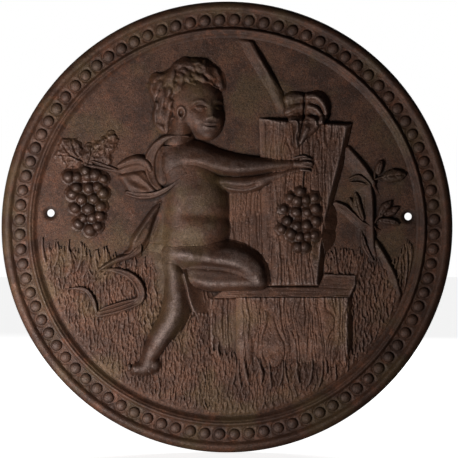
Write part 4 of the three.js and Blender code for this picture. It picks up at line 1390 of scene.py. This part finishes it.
def hair(X, Z):
    """Thick tousled hair: many short pointed locks over a lower cap."""
    draw = np.random.default_rng(5)
    edge = inside(X, Z, HAIR, smooth=True)
    body = 4.5 + 5.7 * unit(1 - np.hypot((X + 38) / 44, (Z - 130) / 44) ** 2) - 0.2 * np.clip(X + 22, 0, 18)
    cap = soft_min(edge / 3.6, np.ones_like(X), 0.35) * body * 0.82
    h = cap + 0.5 * noise(X / 1.8, Z / 1.8, 40) * (cap > 1)
    for x in np.arange(-80, 0, LOCK_PITCH):
        for z in np.arange(88, 176, LOCK_PITCH):
            root = (x + draw.uniform(-2.2, 2.2), z + draw.uniform(-2.2, 2.2))
            length, curl, lift = draw.uniform(10, 19), draw.normal(0, 1.0), draw.uniform(-0.8, 1.0)
            rows, columns = near(X, Z, *root, 0.7)
            if rows is None or edge[rows, columns].max() < 1.5:
                continue
            rows, columns = near(X, Z, *root, 24)
            path = lock_path(*root, length, curl)
            v, along = beside(X[rows, columns], Z[rows, columns], path)
            width = 4.0 * np.sqrt(np.clip(6 * along, 0.3, 1)) * np.clip(1.12 - along**2, 0.05, 1)
            strand = 0.35 * np.cos(2 * math.pi * v / 1.9 + 9 * curl) * (np.abs(v) < 0.8 * width)
            top = body[rows, columns] + lift - 0.8 + 1.8 * np.sin(np.pi * along**0.8)
            lock = top * (1 - np.clip(np.abs(v) / width, 0, 2) ** 2.2 * 0.36) + strand
            lock = np.where(np.abs(v) < width, lock, -2)
            h[rows, columns] = np.maximum(h[rows, columns], lock)
    run = 3.4 + 4.0 * unit((-18 - X) / 15) * unit((Z - 135) / 10)
    return smoothed(soft_min(h, np.clip((edge + 2.2) / run, -1, 1.6) * body, 0.6), 0.7)


# ---- Materials -------------------------------------------


def node(tree, kind, settings=None, **inputs):
    """A shader node with its settings, and its inputs set or linked by name."""
    made = tree.nodes.new("ShaderNode" + kind)
    for key, value in (settings or {}).items():
        setattr(made, key, value)
    for key, value in inputs.items():
        plug(tree, made.inputs[key.replace("_", " ")], value)
    return made


def plug(tree, socket, value):
    """Links a socket to an input, or sets the input to a value."""
    if isinstance(value, bpy.types.NodeSocket):
        tree.links.new(value, socket)
    else:
        socket.default_value = value


def math_node(tree, operation, *values, clamp=False):
    """A sum, product or other operation on values and sockets."""
    made = node(tree, "Math", {"operation": operation, "use_clamp": clamp})
    for socket, value in zip(made.inputs, values):
        plug(tree, socket, value)
    return made.outputs[0]


def in_range(tree, value, low, high, to_low=0.0, to_high=1.0):
    """A smooth step of a value between two limits."""
    made = node(tree, "MapRange", {"interpolation_type": "SMOOTHSTEP"}, Value=value)
    for name, amount in (("From Min", low), ("From Max", high), ("To Min", to_low), ("To Max", to_high)):
        made.inputs[name].default_value = amount
    return made.outputs[0]


def blend_colors(tree, share_of_b, a, b, mode="MIX"):
    """A colour between two, or the second laid over the first in another mode."""
    made = node(tree, "Mix", {"data_type": "RGBA", "blend_type": mode, "clamp_factor": True})
    plug(tree, made.inputs[0], share_of_b)
    for socket, color in ((made.inputs[6], a), (made.inputs[7], b)):
        plug(tree, socket, color if isinstance(color, bpy.types.NodeSocket) else (*color, 1))
    return made.outputs[2]


def spots(tree, where, size, detail, rough, shift):
    """Noise with features of a size in millimetres. Each shift is another pattern."""
    made = node(tree, "TexNoise", {"noise_dimensions": "4D"}, Vector=where, Scale=1 / (size * MM))
    made.inputs["W"].default_value = shift
    made.inputs["Detail"].default_value = detail
    made.inputs["Roughness"].default_value = rough
    return made.outputs["Fac"]


def attribute(tree, name):
    """One of the values that each piece's points carry."""
    return node(tree, "Attribute", {"attribute_name": name}).outputs["Fac"]


# Colours of the patina, as linear red, green and blue.
BLACKED = (0.009, 0.0048, 0.0034)
UMBER = (0.055, 0.0235, 0.0135)
BROWN = (0.105, 0.0455, 0.0255)
RUST = (0.165, 0.060, 0.030)
OLIVE = (0.100, 0.060, 0.026)
WORN = (0.205, 0.140, 0.117)

# Patterns in the patina. Each has the size of its spots in millimetres, its detail, roughness and shift,
# and the noise between which it sets in.
BLOTCHES = ((26, 4, 0.6, 0), 0.40, 0.62)
RUST_SPOTS = ((9, 5, 0.65, 3), 0.50, 0.68)
OLIVE_SPOTS = ((40, 3, 0.5, 7), 0.48, 0.66)
RUBBING = ((7, 5, 0.6, 11), 0.38, 0.60)
GRAINS = ((1.3, 2, 0.7, 17), 0.36, 0.60)
DUST = ((1.7, 2, 0.7, 37), 0.56, 0.74)
DULLING = ((4, 4, 0.6, 23), 0.3, 0.7)
GRIT = (1.1, 4, 0.65, 29)
WAVES = (5.5, 3, 0.5, 31)


def pattern(tree, where, kind, to_low=0.0, to_high=1.0):
    """One of the patterns in the patina, between two amounts."""
    noise_settings, low, high = kind
    return in_range(tree, spots(tree, where, *noise_settings), low, high, to_low, to_high)


def patina(tree, where, bare, wear_and_painted_light, rust, tone, specks, olive, dust):
    """Brown in blotches, rust and olive over it, metal where it is bare, specks, dust, dark hollows and
    painted shade round the holes.
    """
    color = blend_colors(tree, pattern(tree, where, BLOTCHES), UMBER, BROWN)
    color = blend_colors(tree, pattern(tree, where, RUST_SPOTS, 0, rust), color, RUST)
    color = blend_colors(tree, pattern(tree, where, OLIVE_SPOTS, 0, olive), color, OLIVE)
    color = blend_colors(tree, bare, color, WORN)
    between = math_node(tree, "SUBTRACT", 1.0, pattern(tree, where, GRAINS))
    color = blend_colors(tree, math_node(tree, "MULTIPLY", between, specks), color, BLACKED)
    color = blend_colors(tree, pattern(tree, where, DUST, 0, dust), color, WORN)
    # Darker where the value is low: in the hollows, and in the painted shade round the holes.
    color = blend_colors(tree, in_range(tree, wear_and_painted_light, -1.5, -0.2, 0.7, 0), color, BLACKED)
    return blend_colors(tree, 1.0, color, (tone, tone, tone), "MULTIPLY")


def skin_bump(tree, where, sand):
    """The sand-cast skin: fine grit on soft waves."""
    grit = math_node(tree, "MULTIPLY", spots(tree, where, *GRIT), 0.6 * sand)
    waves = math_node(tree, "MULTIPLY", spots(tree, where, *WAVES), 0.7)
    height = math_node(tree, "ADD", grit, waves)
    return node(tree, "Bump", Height=height, Strength=0.85, Distance=1.2 * MM).outputs["Normal"]


def iron(
    name, metal=0.25, gloss=0.5, sand=1.0, rust=0.35, worn=0.5, tone=1.0, specks=0.5, olive=0.6, dust=0.35
):
    """Old cast iron: a brown patina, and greyer metal where its heights and edges are rubbed."""
    material = bpy.data.materials.new(name)
    material.use_nodes = True
    tree = material.node_tree
    shader = tree.nodes["Principled BSDF"]
    where = node(tree, "TexCoord").outputs["Object"]
    wear_and_painted_light, shade, lift = (attribute(tree, key) for key in ("wear_and_painted_light", "shade", "lift"))
    raised = in_range(tree, shade, -0.1, 0.9)
    high = math_node(tree, "MULTIPLY", raised, in_range(tree, lift, 0.05, 0.8), clamp=True)
    rubbed = math_node(tree, "MULTIPLY", high, pattern(tree, where, RUBBING, 0.2, 1))
    edges = in_range(tree, wear_and_painted_light, 0.15, 0.9, 0, 0.7)
    bare = math_node(tree, "MULTIPLY", math_node(tree, "MAXIMUM", rubbed, edges), worn, clamp=True)
    dull = pattern(tree, where, DULLING, gloss - 0.07, gloss + 0.16)
    rough = math_node(tree, "SUBTRACT", dull, math_node(tree, "MULTIPLY", bare, 0.10))
    color = patina(tree, where, bare, wear_and_painted_light, rust, tone, specks, olive, dust)
    tree.links.new(color, shader.inputs["Base Color"])
    tree.links.new(rough, shader.inputs["Roughness"])
    tree.links.new(skin_bump(tree, where, sand), shader.inputs["Normal"])
    shader.inputs["Metallic"].default_value = metal
    shader.inputs["Specular IOR Level"].default_value = 0.3
    return material


field_iron = iron("FieldIron", metal=0.15, gloss=0.6, sand=1.25, rust=0.45, worn=0.15, specks=0.62)
rim_iron = iron(
    "RimIron", metal=0.2, gloss=0.48, sand=0.9, rust=0.8, worn=0.12, tone=0.88, olive=0.7, dust=0.1
)
bead_iron = iron("BeadIron", rust=0.5, worn=0.55, tone=0.82, dust=0.15)
skin_iron = iron("SkinIron", metal=0.3, gloss=0.45, rust=0.25, worn=1.0, tone=0.9)
# A darker, less rubbed copy of the skin's iron, which paints shade on the near arm.
shaded_arm_iron = iron("ShadedArmIron", metal=0.3, gloss=0.43, rust=0.25, worn=0.6, tone=0.86)
warm_iron = iron("WarmIron", gloss=0.46, rust=0.6, olive=0.85, dust=0.2)
cloth_iron = iron("ClothIron", sand=0.9, rust=0.45, worn=0.25, tone=0.9, dust=0.2)
grass_iron = iron("GrassIron", metal=0.2, gloss=0.52, tone=1.25)
wood_iron = iron("WoodIron", metal=0.2, sand=1.1, rust=0.15, worn=1.0, tone=1.35, olive=0.4, dust=0.5)
block_iron = iron("BlockIron", metal=0.2, sand=1.1, rust=0.15, worn=1.0, tone=1.65, olive=0.5, dust=0.5)
leaf_iron = iron("LeafIron", gloss=0.42, rust=0.4, worn=0.75, tone=0.9)
plant_iron = iron("PlantIron", gloss=0.46, rust=0.4, worn=0.3, tone=0.8, specks=0.55)
grape_iron = iron("GrapeIron", metal=0.3, gloss=0.36, sand=0.7, rust=0.3, tone=0.62, specks=0.4)

# ---- Carving, from the back to the front -----------------

# In each group: its material, how softly its motifs run into what is under them, and their forms. A
# form has the name of the node that its piece replaces.
MOTIFS = [
    (grass_iron, 0.5, [grass_left, grass_right]),
    (wood_iron, 0.5, [plank, board, block_side, block_top]),
    (block_iron, 0.5, [block_front]),
    (grass_iron, 0.5, [grass_front]),
    (plant_iron, 0.5, [
        sprig_blade, sprig_stem, sprig_branch, sprig_leaf_left, sprig_leaf_low, sprig_leaf_right,
        sprig_leaf_top, sprig_leaf_bud, sprig_twig, sprig_tail,
    ]),
    (leaf_iron, 0.5, [left_leaf_outer, left_leaf_inner]),
    (plant_iron, 0.5, [left_leaf_small]),
    (grape_iron, 0.4, [left_grapes]),
    (plant_iron, 0.4, [left_stem]),
    (cloth_iron, 0.7, [sash_end, sash_loop, sash_turn, sash_fall]),
    (skin_iron, 2.2, [kneeling_foot, standing_foot, standing_leg, far_arm]),
    (warm_iron, 2.5, [torso]),
    (skin_iron, 2.2, [calf]),
    (skin_iron, 7, [thigh]),
    (warm_iron, 1.5, [head]),
    (warm_iron, 0.9, [hair]),
    (cloth_iron, 0.7, [sash_knot]),
    (shaded_arm_iron, 2.4, [near_arm]),
    (skin_iron, 0.7, [near_hand]),
    (cloth_iron, 0.6, [underarm_sash, shoulder_sash]),
    (plant_iron, 0.4, [held_stem]),
    (grape_iron, 0.4, [held_grapes]),
    (plant_iron, 0.5, [vine_branch]),
    (leaf_iron, 0.5, [vine_leaf]),
]

for material, blend, shapes in MOTIFS:
    for shape in shapes:
        carve(shape, material, blend)

# How worn or hollow, raised or sunk, and how high the finished relief is, for the materials.
VALUES = {
    "wear_and_painted_light": (relief - blur(relief, WEAR_SPREAD)) / WEAR_FULL,
    "shade": (relief - blur(relief, SHADE_SPREAD)) / SHADE_FULL,
    "lift": relief / RELIEF_TOP,
}

for motif in carved:
    build_relief(*motif)


def build_plate():
    """The plate, whose material reads the relief's values too, with painted shade in a ring round each hole.
    """
    points, faces = plate_mesh()
    x, y, z = points.T
    on_front = np.arange(len(faces)) < np.sum(y[faces[: PLATE_CELLS**2]].max(axis=1) < -PLATE / 2)
    column, row = (np.clip(np.rint((at - axis[0]) / CELL).astype(int), 0, len(axis) - 1) for at in (x, z))
    front = (y < -PLATE + 1) & (np.hypot(x, z) < FIELD + 5)
    values = {key: np.where(front, field[row, column], 0) for key, field in VALUES.items()}
    for hole_x, hole_z in HOLES:
        # Painted shade: a darker ring round each hole, standing in for the countersink's shade.
        values["wear_and_painted_light"] -= 1.5 * bell((np.hypot(x - hole_x, z - hole_z) - BORE - 1) / 3)
    smooth = np.ones(len(faces), bool)
    add_piece("back_plate", points, faces, on_front, values, field_iron, smooth=smooth)


def build_moulding():
    """The moulding, as one ring."""
    points, faces, front_count, values = moulding_mesh()
    on_front = np.arange(len(faces)) < front_count
    add_piece("rim_moulding", points, faces, on_front, values, rim_iron)


def build_beads(row, count):
    """One of the rows of beads, whose tops are rubbed pale, which is wear and a painted highlight in one, and
    whose feet are dark.
    """
    points, faces, sizes, lifts = bead_mesh(row * count, count)
    # These values make a pale spot on each bead's top: wear, and a painted highlight.
    values = {"wear_and_painted_light": (lifts - 0.75) * 3, "shade": lifts - 0.2, "lift": lifts * 0.5}
    add_piece(f"bead_row_{row + 1}", points, faces, sizes < 5, values, bead_iron, sizes)


build_plate()
build_moulding()
for bead_row in range(BEAD_ROWS):
    build_beads(bead_row, BEADS // BEAD_ROWS)

# ---- Floor, light and camera -----------------------------


FLOOR_REACH = 8.0  # metres, as is every length in this section
FLOOR_CELLS = 8
FLOOR_WHITE, FLOOR_GLOW = 0.95, 0.9
SKY_LIGHT, SKY_SEEN = 0.045, 1.0  # how bright the white surroundings are as a light, and in view
SENSOR = 36  # of the camera, in its own millimetres
FRAME_WIDTH, CAMERA_FAR = 0.4584, 2.2
CAMERA_PLACE = (0.002, -CAMERA_FAR, -0.002)

# Each light: its place, where it points, its width, its power in watts and its spread in degrees.
LIGHTS = {
    "Key": ((-0.584, -0.80, -0.45), (-0.40, 0, -0.04), 0.25, 4.8, 80),
    "Back": ((0.4, 1.8, 0.9), (0, 0, 0), 1.2, 20, 180),
}


def floor_paint():
    """A white matt paint that glows, so that it shows no shadow."""
    material = bpy.data.materials.new("FloorPaint")
    material.use_nodes = True
    shader = material.node_tree.nodes["Principled BSDF"]
    white = (FLOOR_WHITE, FLOOR_WHITE, FLOOR_WHITE, 1)
    shader.inputs["Base Color"].default_value = white
    shader.inputs["Roughness"].default_value = 0.9
    shader.inputs["Emission Color"].default_value = white
    shader.inputs["Emission Strength"].default_value = FLOOR_GLOW
    return material


def build_floor():
    """A floor under the disc, which throws no light or shade on it."""
    t = np.linspace(-FLOOR_REACH, FLOOR_REACH, FLOOR_CELLS + 1)
    x, y = np.meshgrid(t, t)
    cells = quads(np.arange(x.size).reshape(x.shape), np.ones((FLOOR_CELLS, FLOOR_CELLS), bool))
    points = np.column_stack([x.ravel(), y.ravel(), np.full(x.size, -DISC * MM)]) / MM
    mesh = new_mesh("floor", points, cells)
    mesh.materials.append(floor_paint())
    floor = bpy.data.objects.new("Floor", mesh)
    bpy.context.scene.collection.objects.link(floor)
    floor.visible_shadow = False
    floor.visible_diffuse = False
    floor.visible_glossy = False


def build_world():
    """White surroundings, which give the disc only a faint light."""
    world = bpy.data.worlds.new("Studio")
    bpy.context.scene.world = world
    world.use_nodes = True
    tree = world.node_tree
    bpy.context.scene.view_settings.view_transform = "Standard"
    seen = node(tree, "LightPath").outputs["Is Camera Ray"]
    background = tree.nodes["Background"]
    background.inputs["Color"].default_value = (1, 1, 1, 1)
    tree.links.new(in_range(tree, seen, 0, 1, SKY_LIGHT, SKY_SEEN), background.inputs["Strength"])


def soft_light(name, place, target, size, power, spread):
    """A round lamp that points from its place to its target."""
    light = bpy.data.lights.new(name, "AREA")
    light.shape = "DISK"
    light.spread = math.radians(spread)
    light.size = size
    light.energy = power
    lamp = bpy.data.objects.new(name, light)
    bpy.context.scene.collection.objects.link(lamp)
    lamp.location = place
    lamp.rotation_euler = (Vector(target) - Vector(place)).to_track_quat("-Z", "Y").to_euler()


def build_camera():
    """A camera square to the face, whose lens takes in the frame's width at the disc's back."""
    camera = bpy.data.cameras.new("Camera")
    camera.sensor_width = SENSOR
    camera.lens = SENSOR * CAMERA_FAR / FRAME_WIDTH
    seat = bpy.data.objects.new("Camera", camera)
    bpy.context.scene.collection.objects.link(seat)
    seat.location = CAMERA_PLACE
    seat.rotation_euler = (math.pi / 2, 0, 0)
    bpy.context.scene.camera = seat


build_floor()
build_world()
for lamp_name, lamp_settings in LIGHTS.items():
    soft_light(lamp_name, *lamp_settings)
build_camera()
